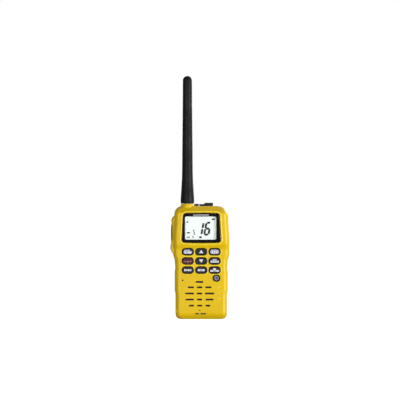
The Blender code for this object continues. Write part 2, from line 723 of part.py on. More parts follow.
# ---------------------------------------------------------------- sound
def sound():
    cloth = bmesh.new()
    cylinder(cloth, "Y", SPEAKER_CENTRE, SPEAKER_RADIUS + 0.0012, CAVITY_FRONT_Y + GAP, CAVITY_FRONT_Y + 2 * GAP, steps=28)
    place("speaker_cloth", cloth, "acoustic_cloth")

    basket = bmesh.new()
    turned(basket, "Y", SPEAKER_CENTRE, (
        (0.0165, -0.0147), (0.0165, -0.0133), (0.0102, -0.0097), (0.0082, -0.0097),
        (0.0082, -0.0105), (0.0096, -0.0105), (0.0152, -0.0137), (0.0152, -0.0147),
    ))
    place("speaker_frame", basket, "tinned_steel")

    cone = bmesh.new()
    turned(cone, "Y", SPEAKER_CENTRE, (
        (0, -0.0124), (0.0020, -0.0122), (0.0028, -0.0120), (0.0148, -0.0144), (0.0148, -0.0140), (0.0030, -0.0116), (0, -0.0116),
    ))
    place("speaker_cone", cone, "paper_cone")

    magnet = bmesh.new()
    turned(magnet, "Y", SPEAKER_CENTRE, ((0, -0.0112), (0.0078, -0.0112), (0.0078, -0.0072), (0.0075, -0.0069), (0, -0.0069)))
    place("speaker_magnet", magnet, "magnet")

    boot = bmesh.new()
    turned(boot, "Y", MIC_CENTRE, (
        (MIC_HOLE_RADIUS, -0.0153), (0.0042, -0.0153), (0.0042, -0.0106), (0.0034, -0.0106),
        (0.0034, -0.0136), (MIC_HOLE_RADIUS, -0.0136),
    ), steps=16)
    place("mic_boot", boot, "grey_silicone")

    capsule = bmesh.new()
    cylinder(capsule, "Y", MIC_CENTRE, 0.0030, -0.0133, -0.0108, steps=16)
    place("microphone", capsule, "tinned_steel")


# ---------------------------------------------------------------- push to talk
def push_to_talk():
    def outline(grow):
        return rounded_rectangle(PTT_CENTRE, (PTT_SIZE[0] + 2 * grow, PTT_SIZE[1] + 2 * grow), PTT_CORNER + grow, 5)

    button = bmesh.new()
    flange_x = -0.0289
    stepped(button, "X", (
        (flange_x + 0.0010, outline(0.0010)), (flange_x, outline(0.0010)), (flange_x, outline(0)),
        (PTT_OUTER_X + 0.0012, outline(0)), (PTT_OUTER_X + 0.0004, outline(-0.0005)), (PTT_OUTER_X, outline(-0.0016)),
    ))
    place("ptt_button", button, "rubber", origin=(PTT_OUTER_X, *PTT_CENTRE))

    switch = bmesh.new()
    box(switch, (-0.0250, -0.0046, 0.0950), (-0.0200, -0.0016, 0.1018))
    switch = place("ptt_switch", switch, "gloss_black")
    nub = bmesh.new()
    cylinder(nub, "X", (-0.0031, 0.0984), 0.0010, -0.0262, -0.0245, steps=10)
    add(switch, nub)


# ---------------------------------------------------------------- antenna
def antenna():
    tip_radius, shoulder = ANTENNA_OUTLINE[-1]
    tip = [
        (tip_radius * math.cos(math.radians(a)), shoulder + (ANTENNA_TIP_Z - shoulder) * math.sin(math.radians(a)))
        for a in (25, 50, 70)
    ]
    sheath = bmesh.new()
    inner = PLUG_RADIUS + 0.00035
    turned(sheath, "Z", ANTENNA_AXIS, (
        (0, 0.2710), (0.0019, 0.2710), (0.0019, 0.1435), (inner, 0.1435), (inner, ANTENNA_BASE_Z),
        *ANTENNA_OUTLINE, *tip, (0, ANTENNA_TIP_Z),
    ))
    place("antenna_sheath", sheath, "rubber", origin=(*ANTENNA_AXIS, ANTENNA_BASE_Z))

    core = bmesh.new()
    cylinder(core, "Z", ANTENNA_AXIS, 0.0016, 0.1438, 0.2706, steps=12)
    place("antenna_core", core, "brass", origin=(*ANTENNA_AXIS, 0.1438))

    plug = bmesh.new()
    turned(plug, "Z", ANTENNA_AXIS, (
        (0, 0.1365), (0.0006, 0.1365), (0.0006, 0.1416), (0.0035, 0.1416), (0.0035, 0.1342),
        (PLUG_RADIUS, 0.1342), (PLUG_RADIUS, 0.1432), (0, 0.1432),
    ))
    place("antenna_plug", plug, "brass", origin=(*ANTENNA_AXIS, 0.1342))

    socket = bmesh.new()
    turned(socket, "Z", ANTENNA_AXIS, (
        (0, 0.1215), (0.0020, 0.1215), (0.0020, 0.1248), (0.0050, 0.1248), (0.0050, 0.1264),
        (SOCKET_RADIUS, 0.1264), (SOCKET_RADIUS, 0.1410), (0.0023, 0.1410), (0.0023, 0.1350), (0, 0.1350),
    ))
    place("antenna_socket", socket, "brass")

    seal = bmesh.new()
    turned(seal, "Z", ANTENNA_AXIS, (
        (0.0049, 0.1323), (0.0052, 0.1321), (0.0060, 0.1321), (0.0063, 0.1323),
        (0.0063, 0.1328), (0.0060, 0.1330), (0.0052, 0.1330), (0.0049, 0.1328),
    ))
    place("antenna_seal", seal, "seal_rubber", origin=(*ANTENNA_AXIS, 0.1325))


# ---------------------------------------------------------------- jacks and their cover
def jacks():
    for name, x, radius, hole in (
        ("speaker_jack", SPEAKER_JACK_X, 0.0030, 0.0018), ("mic_jack", MIC_JACK_X, 0.0026, 0.0013),
    ):
        shape = bmesh.new()
        turned(shape, "Z", (x, JACK_Y), (
            (0, 0.1170), (radius, 0.1170), (radius, 0.1295), (hole, 0.1295), (hole, 0.1185), (0, 0.1185),
        ), steps=16)
        place(name, shape, "brass")

    middle_y = (COVER_Y[0] + COVER_Y[1]) / 2
    depth = COVER_Y[1] - COVER_Y[0]
    anchor = bmesh.new()
    left, right = -0.0082, COVER_HINGE_X - 0.00015
    outline = rounded_rectangle(((left + right) / 2, middle_y), (right - left, depth), 0.0008, 2)
    prism(anchor, "Z", outline, 0.1306, COVER_HINGE_Z)
    anchor = place("jack_cover_anchor", anchor, "rubber")
    hole = bmesh.new()
    turned(hole, "Z", (-0.0054, 0.0085), (
        (0, 0.1290), (0.0013, 0.1290), (0.0013, 0.1316), (0.0023, 0.1316), (0.0023, 0.1340), (0, 0.1340),
    ), steps=12)
    cut(anchor, hole)

    flap = bmesh.new()
    left, right = COVER_HINGE_X + 0.00015, 0.0137
    strip = rounded_rectangle(((left + right) / 2, middle_y), (right - left, depth), 0.0008, 2)
    prism(flap, "Z", strip, 0.1309, COVER_HINGE_Z)
    flap = place("jack_cover", flap, "rubber", origin=(COVER_HINGE_X, middle_y, COVER_HINGE_Z))
    tab = bmesh.new()
    tab_outline = rounded_rectangle((0.0087, middle_y), (0.0102, depth + 0.0002), 0.0010, 2)
    stepped(tab, "Z", (
        (0.1315, tab_outline), (0.1336, tab_outline),
        (0.1342, rounded_rectangle((0.0087, middle_y), (0.0090, depth - 0.0010), 0.0008, 2)),
    ))
    add(flap, tab)

    screw = bmesh.new()
    turned(screw, "Z", (-0.0054, 0.0085), (
        (0, 0.1235), (0.0010, 0.1240), (0.0010, 0.1319), (0.0020, 0.1319), (0.0020, 0.1326), (0.0015, 0.1330), (0, 0.1330),
    ), steps=12)
    place("jack_cover_screw", screw, "dark_steel")


# ---------------------------------------------------------------- battery pack
def battery_pack():
    shell = rear_form(PACK_LOW, PACK_HIGH, PACK_SIDE_INSET, 0.0002, rim_y=PACK_FRONT_Y)
    case = place("battery_case", shell, "black_plastic", origin=(0.0, PACK_FRONT_Y, PACK_LOW))
    hollow = bmesh.new()
    box(hollow, *PACK_CAVITY)
    cut(case, hollow)
    pocket = bmesh.new()
    box(pocket, (-0.0095, 0.0130, 0.0030), (0.0095, 0.0250, 0.0150))
    for side in (-1, 1):
        outline = t_rail(side * RAIL_X, 0.0011, 0.0007, (0.0097, 0.0116), PACK_FRONT_Y - 0.001)
        prism(pocket, "Z", outline, 0.0120, 0.0800)
    cut(case, pocket)

    lid = bmesh.new()
    (x0, _, z0), (x1, _, z1) = PACK_CAVITY
    box(lid, (x0 + GAP, PACK_FRONT_Y, z0 + GAP), (x1 - GAP, PACK_FRONT_Y + 0.0011, z1 - GAP))
    lid = place("battery_lid", lid, "black_plastic")
    holes = bmesh.new()
    for side in (-1, 1):
        x = side * CONTACT_X
        box(holes, (x - 0.0020, 0.0080, 0.0627), (x + 0.0020, 0.0120, 0.0693))
        pad = bmesh.new()
        box(pad, (x - 0.0017, PACK_FRONT_Y - 0.0002, 0.0630), (x + 0.0017, PACK_FRONT_Y + 0.0013, 0.0690))
        place("battery_pad_plus" if side > 0 else "battery_pad_minus", pad, "brass")
    cut(lid, holes)

    for number, (left, right) in enumerate(((-0.0249, -0.0003), (0.0003, 0.0249)), start=1):
        cell = bmesh.new()
        outline = rounded_rectangle(((left + right) / 2, 0.01335), (right - left, 0.0053), 0.0024, 3)
        prism(cell, "Z", outline, 0.0180, 0.0625)
        place(f"battery_cell_{number}", cell, "cell_wrap")

    circuit = bmesh.new()
    box(circuit, (-0.0200, 0.0122, 0.0640), (0.0200, 0.0132, 0.0704))
    place("battery_board", circuit, "circuit_board")

    for side in (-1, 1):
        pin = bmesh.new()
        turned(pin, "Y", (side * CONTACT_X, CONTACT_Z), (
            (0, 0.0035), (0.0017, 0.0035), (0.0017, 0.0050), (0.0010, 0.0050), (0.0010, 0.0084), (0.0006, 0.0087), (0, 0.0087),
        ), steps=12)
        place("radio_contact_plus" if side > 0 else "radio_contact_minus", pin, "brass")


def battery_latch():
    latch = bmesh.new()
    side_view = [
        (0.0133, 0.0034), (0.0142, 0.0034), (0.0150, 0.0050), (0.0157, 0.0052), (0.0154, 0.0060), (0.0162, 0.0066),
        (0.0159, 0.0074), (0.0167, 0.0080), (0.0166, 0.0096), (0.0133, 0.0096),
    ]
    prism(latch, "X", side_view, -0.0091, 0.0091)
    place("battery_latch", latch, "black_plastic", origin=(0.0, 0.0150, 0.0034))

    spring = bmesh.new()
    low, high, turns, per_turn = 0.0102, 0.0145, 4, 8
    count = turns * per_turn
    points = []
    for i in range(count + 1):
        angle = 2 * math.pi * i / per_turn
        height = low + (high - low) * i / count
        points.append(Vector((0.0011 * math.cos(angle), LATCH_SPRING_Y + 0.0011 * math.sin(angle), height)))
    wire(spring, points, 0.00022, sides=5)
    place("latch_spring", spring, "spring_steel", origin=(0.0, LATCH_SPRING_Y, high))


# ---------------------------------------------------------------- belt clip
def belt_clip():
    base = bmesh.new()
    low, high = CLIP_CHEEK
    foot = BACK_Y + GAP
    box(base, (-high, foot, CLIP_BLOCK_LOW), (high, 0.0200, 0.1045))
    base = place("clip_base", base, "black_plastic")
    cheeks = bmesh.new()
    side_view = [
        (foot, CLIP_BLOCK_LOW - 0.0001), (0.0226, CLIP_BLOCK_LOW - 0.0001), (0.0232, 0.0976), (0.0232, 0.1172),
        (0.0222, CLIP_TOP - 0.0001), (foot, CLIP_TOP - 0.0001),
    ]
    for side in (-1, 1):
        prism(cheeks, "X", side_view, side * low, side * (high + 0.0001))
    add(base, cheeks)
    holes = bmesh.new()
    cylinder(holes, "X", (CLIP_PIN_Y, CLIP_PIN_Z), 0.0012, -0.0130, 0.0130, steps=12)
    for side in (-1, 1):
        turned(holes, "Y", (side * CLIP_SCREWS_X, CLIP_SCREWS_Z), (
            (0, 0.0175), (0.0013, 0.0175), (0.0013, 0.0189), (0.0023, 0.0189), (0.0023, 0.0210), (0, 0.0210),
        ), steps=12)
    cut(base, holes)

    arm = bmesh.new()
    inner = [(y - CLIP_ARM_THICKNESS, z) for y, z in CLIP_OUTER]
    nub = [(0.0200, 0.0456), (0.0186, 0.0462), (0.0182, 0.0478), (0.0190, 0.0492), (0.0212, 0.0525)]
    outline = [*CLIP_OUTER, *[inner[-1]], *nub, *inner[-2::-1]]
    prism(arm, "X", outline, -CLIP_HALF_WIDTH, CLIP_HALF_WIDTH)
    for vertex in arm.verts:
        below = max(0.0, CLIP_BLOCK_LOW - vertex.co.z) / (CLIP_BLOCK_LOW - CLIP_END)
        vertex.co.x *= 1 - 0.16 * below
    arm = place("clip_arm", arm, "black_plastic", origin=(0.0, CLIP_PIN_Y, CLIP_PIN_Z))
    openings = bmesh.new()
    box(openings, (-0.0046, 0.0180, 0.1060), (0.0046, 0.0231, 0.1172))
    cut(arm, openings)
    lugs = bmesh.new()
    lug_radius, plate = 0.0019, CLIP_OUTER[0][0] - 0.0020
    round_side = [
        (CLIP_PIN_Y - lug_radius * math.sin(math.radians(a)), CLIP_PIN_Z + lug_radius * math.cos(math.radians(a)))
        for a in range(0, 181, 30)
    ]
    for side in (-1, 1):
        outline = [(plate, CLIP_PIN_Z + lug_radius), *round_side, (plate, CLIP_PIN_Z - lug_radius)]
        prism(lugs, "X", outline, side * 0.0050, side * (CLIP_HALF_WIDTH - 0.0001))
    add(arm, lugs)
    bore = bmesh.new()
    cylinder(bore, "X", (CLIP_PIN_Y, CLIP_PIN_Z), 0.0012, -0.0120, 0.0120, steps=12)
    cut(arm, bore)

    pin = bmesh.new()
    cylinder(pin, "X", (CLIP_PIN_Y, CLIP_PIN_Z), 0.0009, -0.0117, 0.0117, steps=12)
    place("clip_pin", pin, "tinned_steel", origin=(0.0, CLIP_PIN_Y, CLIP_PIN_Z))

    spring = bmesh.new()
    radius, half_length, turns, per_turn = 0.00165, 0.0038, 4, 10
    points = [Vector((-half_length, CLIP_PIN_Y - radius, 0.1052))]
    for i in range((turns * per_turn) + per_turn // 2 + 1):
        angle = math.pi + 2 * math.pi * i / per_turn
        share = i / (turns * per_turn + per_turn // 2)
        points.append(Vector((
            -half_length + 2 * half_length * share,
            CLIP_PIN_Y + radius * math.cos(angle),
            CLIP_PIN_Z - radius * math.sin(angle),
        )))
    points.append(Vector((half_length, CLIP_PIN_Y + 0.0005, 0.1066)))
    wire(spring, points, 0.00027, sides=5)
    place("clip_spring", spring, "spring_steel", origin=(0.0, CLIP_PIN_Y, CLIP_PIN_Z))

    for side in (-1, 1):
        screw = bmesh.new()
        turned(screw, "Y", (side * CLIP_SCREWS_X, CLIP_SCREWS_Z), (
            (0, 0.0110), (0.0010, 0.0116), (0.0010, 0.0192), (0.0020, 0.0192), (0.0020, 0.0199), (0.0014, 0.0203), (0, 0.0203),
        ), steps=12)
        place("clip_screw_right" if side > 0 else "clip_screw_left", screw, "dark_steel")


clear_scene()
MATERIALS = make_finishes()
front_case()
rear_case()
case_seal()
body_screws()
display()
keypad()
boards()
sound()
push_to_talk()
antenna()
jacks()
battery_pack()
battery_latch()
belt_clip()
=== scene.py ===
"""Looks for the handheld two-way radio. Metres, +Z up, front faces -Y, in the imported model's frame."""

import json
import math

import bmesh
import bpy
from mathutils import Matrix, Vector


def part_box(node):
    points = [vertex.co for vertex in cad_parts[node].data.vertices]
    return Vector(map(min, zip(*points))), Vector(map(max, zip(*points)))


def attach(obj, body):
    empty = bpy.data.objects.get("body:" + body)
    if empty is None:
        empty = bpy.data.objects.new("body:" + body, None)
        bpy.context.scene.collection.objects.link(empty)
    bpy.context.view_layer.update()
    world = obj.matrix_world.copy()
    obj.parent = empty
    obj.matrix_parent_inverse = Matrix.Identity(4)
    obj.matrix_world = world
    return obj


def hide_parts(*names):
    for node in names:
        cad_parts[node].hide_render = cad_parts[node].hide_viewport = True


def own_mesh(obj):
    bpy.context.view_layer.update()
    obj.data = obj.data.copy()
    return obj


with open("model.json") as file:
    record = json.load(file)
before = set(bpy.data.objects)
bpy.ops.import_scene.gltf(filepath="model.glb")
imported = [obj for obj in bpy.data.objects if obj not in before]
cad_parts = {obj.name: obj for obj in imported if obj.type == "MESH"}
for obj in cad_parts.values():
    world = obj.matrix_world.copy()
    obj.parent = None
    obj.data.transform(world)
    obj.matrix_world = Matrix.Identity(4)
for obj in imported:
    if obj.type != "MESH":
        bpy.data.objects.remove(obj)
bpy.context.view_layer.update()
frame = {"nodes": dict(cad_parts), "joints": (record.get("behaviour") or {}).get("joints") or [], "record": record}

# ---------------------------------------------------------------- sizes shared with the frame
GAP = 0.0003
WALL = 0.0020


def size_of(node):
    """Lowest corner, highest corner and centre of a CAD node."""
    low, high = (Vector(corner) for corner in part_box(node))
    return low, high, (low + high) / 2


def centre_of(node):
    """A CAD node's centre as seen from the front: across, up."""
    return tuple(size_of(node)[2].xz)


FRONT_LOW, FRONT_HIGH, _ = size_of("front_case")
REAR_LOW, REAR_HIGH, _ = size_of("rear_case")
PACK_LOW, PACK_HIGH, _ = size_of("battery_case")
BODY_TOP = REAR_HIGH.z
SEAM_Y = FRONT_HIGH.y
REAR_RIM_Y = REAR_LOW.y
DISPLAY_Y = FRONT_LOW.y
BACK_Y = REAR_HIGH.y
FACE_Y = DISPLAY_Y + 0.0024
CAVITY_FRONT_Y = FACE_Y + WALL
CAVITY_LOW, CAVITY_HIGH = 0.0022, BODY_TOP - 0.0022

BASE_CORNER, TOP_CORNER, LEFT_TOP_CORNER, TOP_BACK_RADIUS = 0.0060, 0.0115, 0.0080, 0.0083
FRONT_CORNER, BACK_CORNER = 0.0055, 0.0062

# Half width of the body against height, as the CAD has it.
WIDTH_PROFILE = (
    (0.0000, 0.0297), (0.0280, 0.0297), (0.0340, 0.0306), (0.0540, 0.0306), (0.0600, 0.0300),
    (0.0660, 0.0304), (0.0760, 0.0325), (0.0900, 0.0325), (0.1180, 0.0311), (BODY_TOP, 0.0303),
)
FRONT_PROFILE = (
    (0.0000, -0.0123), (0.0053, FACE_Y), (0.0816, FACE_Y), (0.0857, DISPLAY_Y),
    (0.1226, DISPLAY_Y), (BODY_TOP, -0.0085),
)
BACK_PROFILE = ((0.0000, 0.0125), (0.0035, 0.0146), (0.0080, 0.0163), (0.0150, BACK_Y), (BODY_TOP, BACK_Y))

LENS_LOW_Z, LENS_HIGH_Z = 0.0886, 0.1220
LENS_LOW_HALF, LENS_HIGH_HALF = 0.02235, 0.02085
LENS_CORNER, LENS_ARCH = 0.0030, 0.0006
LENS_FRONT_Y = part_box("lens_bezel")[0][1]
LENS_BACK_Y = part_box("lens_bezel")[1][1]
WINDOW_CENTRE = centre_of("display_window")
WINDOW_SIZE = (0.0359, 0.0267)

KEY_NAMES = (
    "key_call", "key_up", "key_light", "key_distress", "key_down", "key_weather",
    "key_scan", "key_memory", "key_lock",
)
KEY_SIZE, KEY_CORNER = (0.0129, 0.0080), 0.0035
KEY_FRONT_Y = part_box("key_up")[0][1]
POWER_CENTRE = centre_of("power_key")
POWER_RADIUS = 0.0040

SLOT_HEIGHT = 0.0015
SLOT_ROWS = (
    (0.0432, (-0.0062, 0.0021)),
    (0.0370, (-0.0153, -0.0086), (-0.0048, 0.0010), (0.0048, 0.0115)),
    (0.0299, (-0.0183, -0.0086), (-0.0050, 0.0008), (0.0045, 0.0146)),
    (0.0229, (-0.0179, -0.0086), (-0.0048, 0.0008), (0.0050, 0.0139)),
    (0.0159, (-0.0141, -0.0086), (-0.0046, 0.0010), (0.0050, 0.0101)),
)
MIC_CENTRE = centre_of("microphone")
BODY_SCREWS = [centre_of(f"case_screw_{i}") for i in (1, 2, 3, 4)]

PTT_LOW, _, PTT_MIDDLE = size_of("ptt_button")
PTT_CENTRE = tuple(PTT_MIDDLE.yz)
PTT_SIZE, PTT_CORNER = (0.0131, 0.0296), 0.0040
PTT_OUTER_X = PTT_LOW.x

ANTENNA_LOW, ANTENNA_HIGH, ANTENNA_MIDDLE = size_of("antenna_sheath")
ANTENNA_AXIS = tuple(ANTENNA_MIDDLE.xy)
BOSS_RADIUS, BOSS_TOP = 0.0075, FRONT_HIGH.z

TRAY_Y, BAY_TOP = 0.0086, 0.0742
RAIL_X = 0.0277
COVER_UNDERSIDE_Z = 0.1309
TRAVEL = {joint["name"]: joint["range_m"][1] for joint in frame["joints"] if joint["type"] == "slide"}


# ---------------------------------------------------------------- node materials
class Nodes:
    """A short way to write a Principled material with procedural detail, in object coordinates (metres)."""

    def __init__(self, name, colour, roughness, metallic=0.0):
        self.material = bpy.data.materials.new(name)
        self.material.use_nodes = True
        self.tree = self.material.node_tree
        self.shader = self.tree.nodes["Principled BSDF"]
        self.set("Base Color", (*colour, 1.0))
        self.set("Roughness", roughness)
        self.set("Metallic", metallic)
        self.colour = colour
        self.position = self.tree.nodes.new("ShaderNodeTexCoord").outputs["Object"]
        self.normal = None

    def set(self, name, value):
        self.shader.inputs[name].default_value = value

    def node(self, kind, inputs=None, **settings):
        """A new node with these settings and input values."""
        made = self.tree.nodes.new(kind)
        for key, value in settings.items():
            setattr(made, key, value)
        for key, value in (inputs or {}).items():
            made.inputs[key].default_value = value
        return made

    def link(self, start, end):
        self.tree.links.new(start, end)

    def stretched(self, scale):
        mapping = self.node("ShaderNodeMapping", {"Scale": scale})
        self.link(self.position, mapping.inputs["Vector"])
        return mapping.outputs["Vector"]

    def noise(self, scale, detail=3.0, rough=0.55, along=None):
        made = self.node("ShaderNodeTexNoise", {"Scale": scale, "Detail": detail, "Roughness": rough})
        self.link(along or self.position, made.inputs["Vector"])
        return made.outputs["Fac"]

    def cells(self, scale):
        made = self.node("ShaderNodeTexVoronoi", {"Scale": scale})
        self.link(self.position, made.inputs["Vector"])
        return made.outputs["Distance"]

    def ranged(self, value, low, high, to_low, to_high):
        span = {"From Min": low, "From Max": high, "To Min": to_low, "To Max": to_high}
        made = self.node("ShaderNodeMapRange", span)
        self.link(value, made.inputs["Value"])
        return made.outputs["Result"]

    def tint(self, value, colour, amount=1.0):
        """Blend the base colour towards another one where the value is high."""
        mix = self.node("ShaderNodeMix", data_type="RGBA")
        socket = self.shader.inputs["Base Color"]
        colour_inputs = [s for s in mix.inputs if s.type == "RGBA"]
        if socket.is_linked:
            self.link(socket.links[0].from_socket, colour_inputs[0])
        else:
            colour_inputs[0].default_value = (*self.colour, 1.0)
        colour_inputs[1].default_value = (*colour, 1.0)
        self.link(self.ranged(value, 0.0, 1.0, 0.0, amount), mix.inputs["Factor"])
        self.link([s for s in mix.outputs if s.type == "RGBA"][0], socket)

    def patches(self, value, low, high, colour, amount):
        """Tint where a pattern's value runs up from low to high."""
        self.tint(self.ranged(value, low, high, 0.0, 1.0), colour, amount)

    def rough_by(self, value, low, high, to_low, to_high):
        self.link(self.ranged(value, low, high, to_low, to_high), self.shader.inputs["Roughness"])

    def bump(self, height, distance, strength=1.0):
        made = self.node("ShaderNodeBump", {"Distance": distance, "Strength": strength})
        self.link(height, made.inputs["Height"])
        if self.normal is not None:
            self.link(self.normal, made.inputs["Normal"])
        self.normal = made.outputs["Normal"]
        self.link(self.normal, self.shader.inputs["Normal"])

    def worn_edges(self, colour, amount):
        """Lighten convex edges a little, as handling does."""
        geometry = self.node("ShaderNodeNewGeometry")
        self.patches(geometry.outputs["Pointiness"], 0.53, 0.60, colour, amount)


def moulded(name, colour, light, dark, roughness, grain=2600.0, depth=0.000035, worn=0.25):
    """Injection-moulded plastic: spark-eroded grain, slow colour drift, faint scuffs and worn edges."""
    m = Nodes(name, colour, roughness)
    m.patches(m.noise(38.0, 2.0), 0.35, 0.7, dark, 0.35)
    m.patches(m.noise(900.0, 2.0), 0.45, 0.75, light, 0.10)
    scuffs = m.noise(160.0, 5.0, 0.7, along=m.stretched((1.0, 1.0, 0.12)))
    m.patches(scuffs, 0.63, 0.72, light, 0.20)
    m.worn_edges(light, worn)
    m.rough_by(m.noise(120.0, 3.0), 0.3, 0.7, roughness - 0.06, roughness + 0.08)
    m.bump(m.noise(grain, 2.0, 0.6), depth, 0.55)
    m.bump(m.noise(220.0, 2.0), 0.00008, 0.18)
    return m


def yellow_plastic():
    m = moulded("yellow_moulding", (0.84, 0.56, 0.003), (0.93, 0.66, 0.018), (0.70, 0.43, 0.002), 0.34)
    m.set("Specular IOR Level", 0.24)
    return m.material


def yellow_painted_highlight():
    """The same plastic painted a lighter yellow on the raised rims, beads and ribs: a painted highlight."""
    m = moulded("yellow_painted_highlight", (0.98, 0.74, 0.045), (1.0, 0.82, 0.12), (0.90, 0.62, 0.012), 0.26)
    m.set("Specular IOR Level", 0.35)
    return m.material


def black_plastic():
    return moulded(
        "black_moulding", (0.0050, 0.0070, 0.0090), (0.040, 0.044, 0.050), (0.003, 0.004, 0.005), 0.46,
        grain=2200.0, depth=0.00006, worn=0.35,
    ).material


def soft_rubber(name, colour, roughness, grain):
    m = Nodes(name, colour, roughness)
    m.patches(m.noise(70.0, 3.0), 0.4, 0.7, tuple(c * 2.0 + 0.004 for c in colour), 0.4)
    m.patches(m.noise(1500.0, 2.0), 0.55, 0.8, tuple(c * 2.5 + 0.008 for c in colour), 0.25)
    m.worn_edges(tuple(c * 3 + 0.02 for c in colour), 0.30)
    m.rough_by(m.noise(160.0, 4.0), 0.3, 0.7, roughness - 0.08, roughness + 0.06)
    m.bump(m.noise(grain, 3.0), 0.00004, 0.5)
    m.set("Specular IOR Level", 0.32)
    return m.material


def whip_rubber():
    """The antenna's moulded rubber: faint flow lines along its length and a soft shine."""
    m = Nodes("whip_rubber", (0.0045, 0.0045, 0.0060), 0.42)
    lines = m.noise(420.0, 3.0, along=m.stretched((1.0, 1.0, 0.02)))
    m.patches(lines, 0.45, 0.75, (0.016, 0.017, 0.020), 0.5)
    m.patches(m.noise(60.0, 3.0), 0.5, 0.75, (0.012, 0.012, 0.015), 0.5)
    m.rough_by(m.noise(90.0, 4.0), 0.3, 0.7, 0.46, 0.62)
    m.bump(lines, 0.00004, 0.35)
    m.bump(m.noise(1800.0, 2.0), 0.00003, 0.4)
    m.set("Specular IOR Level", 0.22)
    return m.material


def piano_black():
    m = Nodes("lens_black", (0.0025, 0.0025, 0.0030), 0.10)
    m.patches(m.noise(140.0, 4.0), 0.5, 0.8, (0.006, 0.0065, 0.008), 0.5)
    hairlines = m.noise(500.0, 3.0, along=m.stretched((1.0, 1.0, 0.05)))
    m.rough_by(hairlines, 0.35, 0.75, 0.06, 0.20)
    m.bump(m.noise(60.0, 2.0), 0.00005, 0.08)
    m.set("Specular IOR Level", 0.30)
    return m.material


def clear_window():
    """Thin clear plastic: mostly see-through, with a faint reflection that grows at glancing angles."""
    m = Nodes("clear_window", (0.95, 0.97, 1.0), 0.05)
    see = m.node("ShaderNodeBsdfTransparent", {"Color": (0.97, 0.985, 0.98, 1.0)})
    shine = m.node("ShaderNodeBsdfGlossy")
    m.link(m.ranged(m.noise(300.0, 4.0), 0.3, 0.8, 0.03, 0.12), shine.inputs["Roughness"])
    facing = m.node("ShaderNodeLayerWeight", {"Blend": 0.25})
    mix = m.node("ShaderNodeMixShader")
    m.link(m.ranged(facing.outputs["Facing"], 0.0, 1.0, 0.012, 0.35), mix.inputs["Fac"])
    m.link(see.outputs["BSDF"], mix.inputs[1])
    m.link(shine.outputs["BSDF"], mix.inputs[2])
    output = [n for n in m.tree.nodes if n.type == "OUTPUT_MATERIAL"][0]
    m.link(mix.outputs["Shader"], output.inputs["Surface"])
    m.tree.nodes.remove(m.shader)
    return m.material


def lcd_face_painted_glow():
    """The display's pale polariser, with the cell's faint mesh, a slow brightness change and a painted glow that
    brightens its face.
    """
    m = Nodes("lcd_face_painted_glow", (0.88, 0.90, 0.88), 0.35)
    m.patches(m.noise(45.0, 2.0), 0.3, 0.7, (0.80, 0.83, 0.82), 0.6)
    m.patches(m.noise(420.0, 3.0), 0.5, 0.8, (0.93, 0.95, 0.96), 0.4)
    m.rough_by(m.noise(200.0, 2.0), 0.3, 0.7, 0.28, 0.42)
    m.bump(m.cells(1600.0), 0.00001, 0.2)
    # Painted glow: the face gives off light of its own so that it looks brighter.
    m.set("Emission Color", (1.0, 1.0, 0.99, 1.0))
    m.set("Emission Strength", 0.26)
    return m.material


def ink(name, colour, other, roughness=0.45):
    """Printed or segment ink: slightly uneven cover."""
    m = Nodes(name, colour, roughness)
    m.patches(m.noise(700.0, 4.0), 0.4, 0.75, other, 0.6)
    m.rough_by(m.noise(400.0, 2.0), 0.3, 0.7, roughness - 0.08, roughness + 0.08)
    m.bump(m.noise(2400.0, 2.0), 0.00001, 0.4)
    return m.material


def metal(name, colour, dark, roughness, brushed=(1.0, 1.0, 1.0)):
    m = Nodes(name, colour, roughness, metallic=1.0)
    m.patches(m.noise(260.0, 4.0), 0.45, 0.75, dark, 0.5)
    streaks = m.noise(900.0, 4.0, along=m.stretched(brushed))
    m.rough_by(streaks, 0.3, 0.7, roughness - 0.08, roughness + 0.14)
    m.bump(streaks, 0.00001, 0.3)
    return m.material


def circuit_board():
    """Solder mask over copper: darker where there is no track, with a grid of tracks showing through."""
    m = Nodes("solder_mask", (0.012, 0.10, 0.035), 0.32)
    white, grey, black = ((level, level, level, 1.0) for level in (1.0, 0.6, 0.0))
    brick = m.node("ShaderNodeTexBrick", {
        "Scale": 260.0, "Mortar Size": 0.03, "Color1": white, "Color2": grey, "Mortar": black,
    })
    m.link(m.stretched((1.0, 0.0, 1.0)), brick.inputs["Vector"])
    m.tint(brick.outputs["Fac"], (0.03, 0.22, 0.07), 0.8)
    m.patches(m.noise(300.0), 0.5, 0.8, (0.02, 0.16, 0.06), 0.5)
    m.bump(brick.outputs["Fac"], 0.00003, 0.3)
    return m.material


def woven_cloth():
    m = Nodes("acoustic_cloth", (0.012, 0.012, 0.013), 0.85)
    across, up = (m.node("ShaderNodeTexWave", {"Scale": 700.0}, bands_direction=axis) for axis in "XZ")
    for threads in (across, up):
        m.link(m.position, threads.inputs["Vector"])
    m.tint(across.outputs["Fac"], (0.035, 0.035, 0.037), 0.6)
    m.bump(across.outputs["Fac"], 0.00005, 0.5)
    m.bump(up.outputs["Fac"], 0.00005, 0.5)
    return m.material


def shrink_wrap():
    m = Nodes("cell_wrap", (0.03, 0.12, 0.36), 0.28)
    m.patches(m.noise(80.0, 3.0), 0.4, 0.7, (0.05, 0.18, 0.48), 0.6)
    m.rough_by(m.noise(150.0, 3.0), 0.3, 0.7, 0.18, 0.36)
    m.bump(m.noise(180.0, 4.0, along=m.stretched((1.0, 1.0, 0.3))), 0.0001, 0.3)
    return m.material


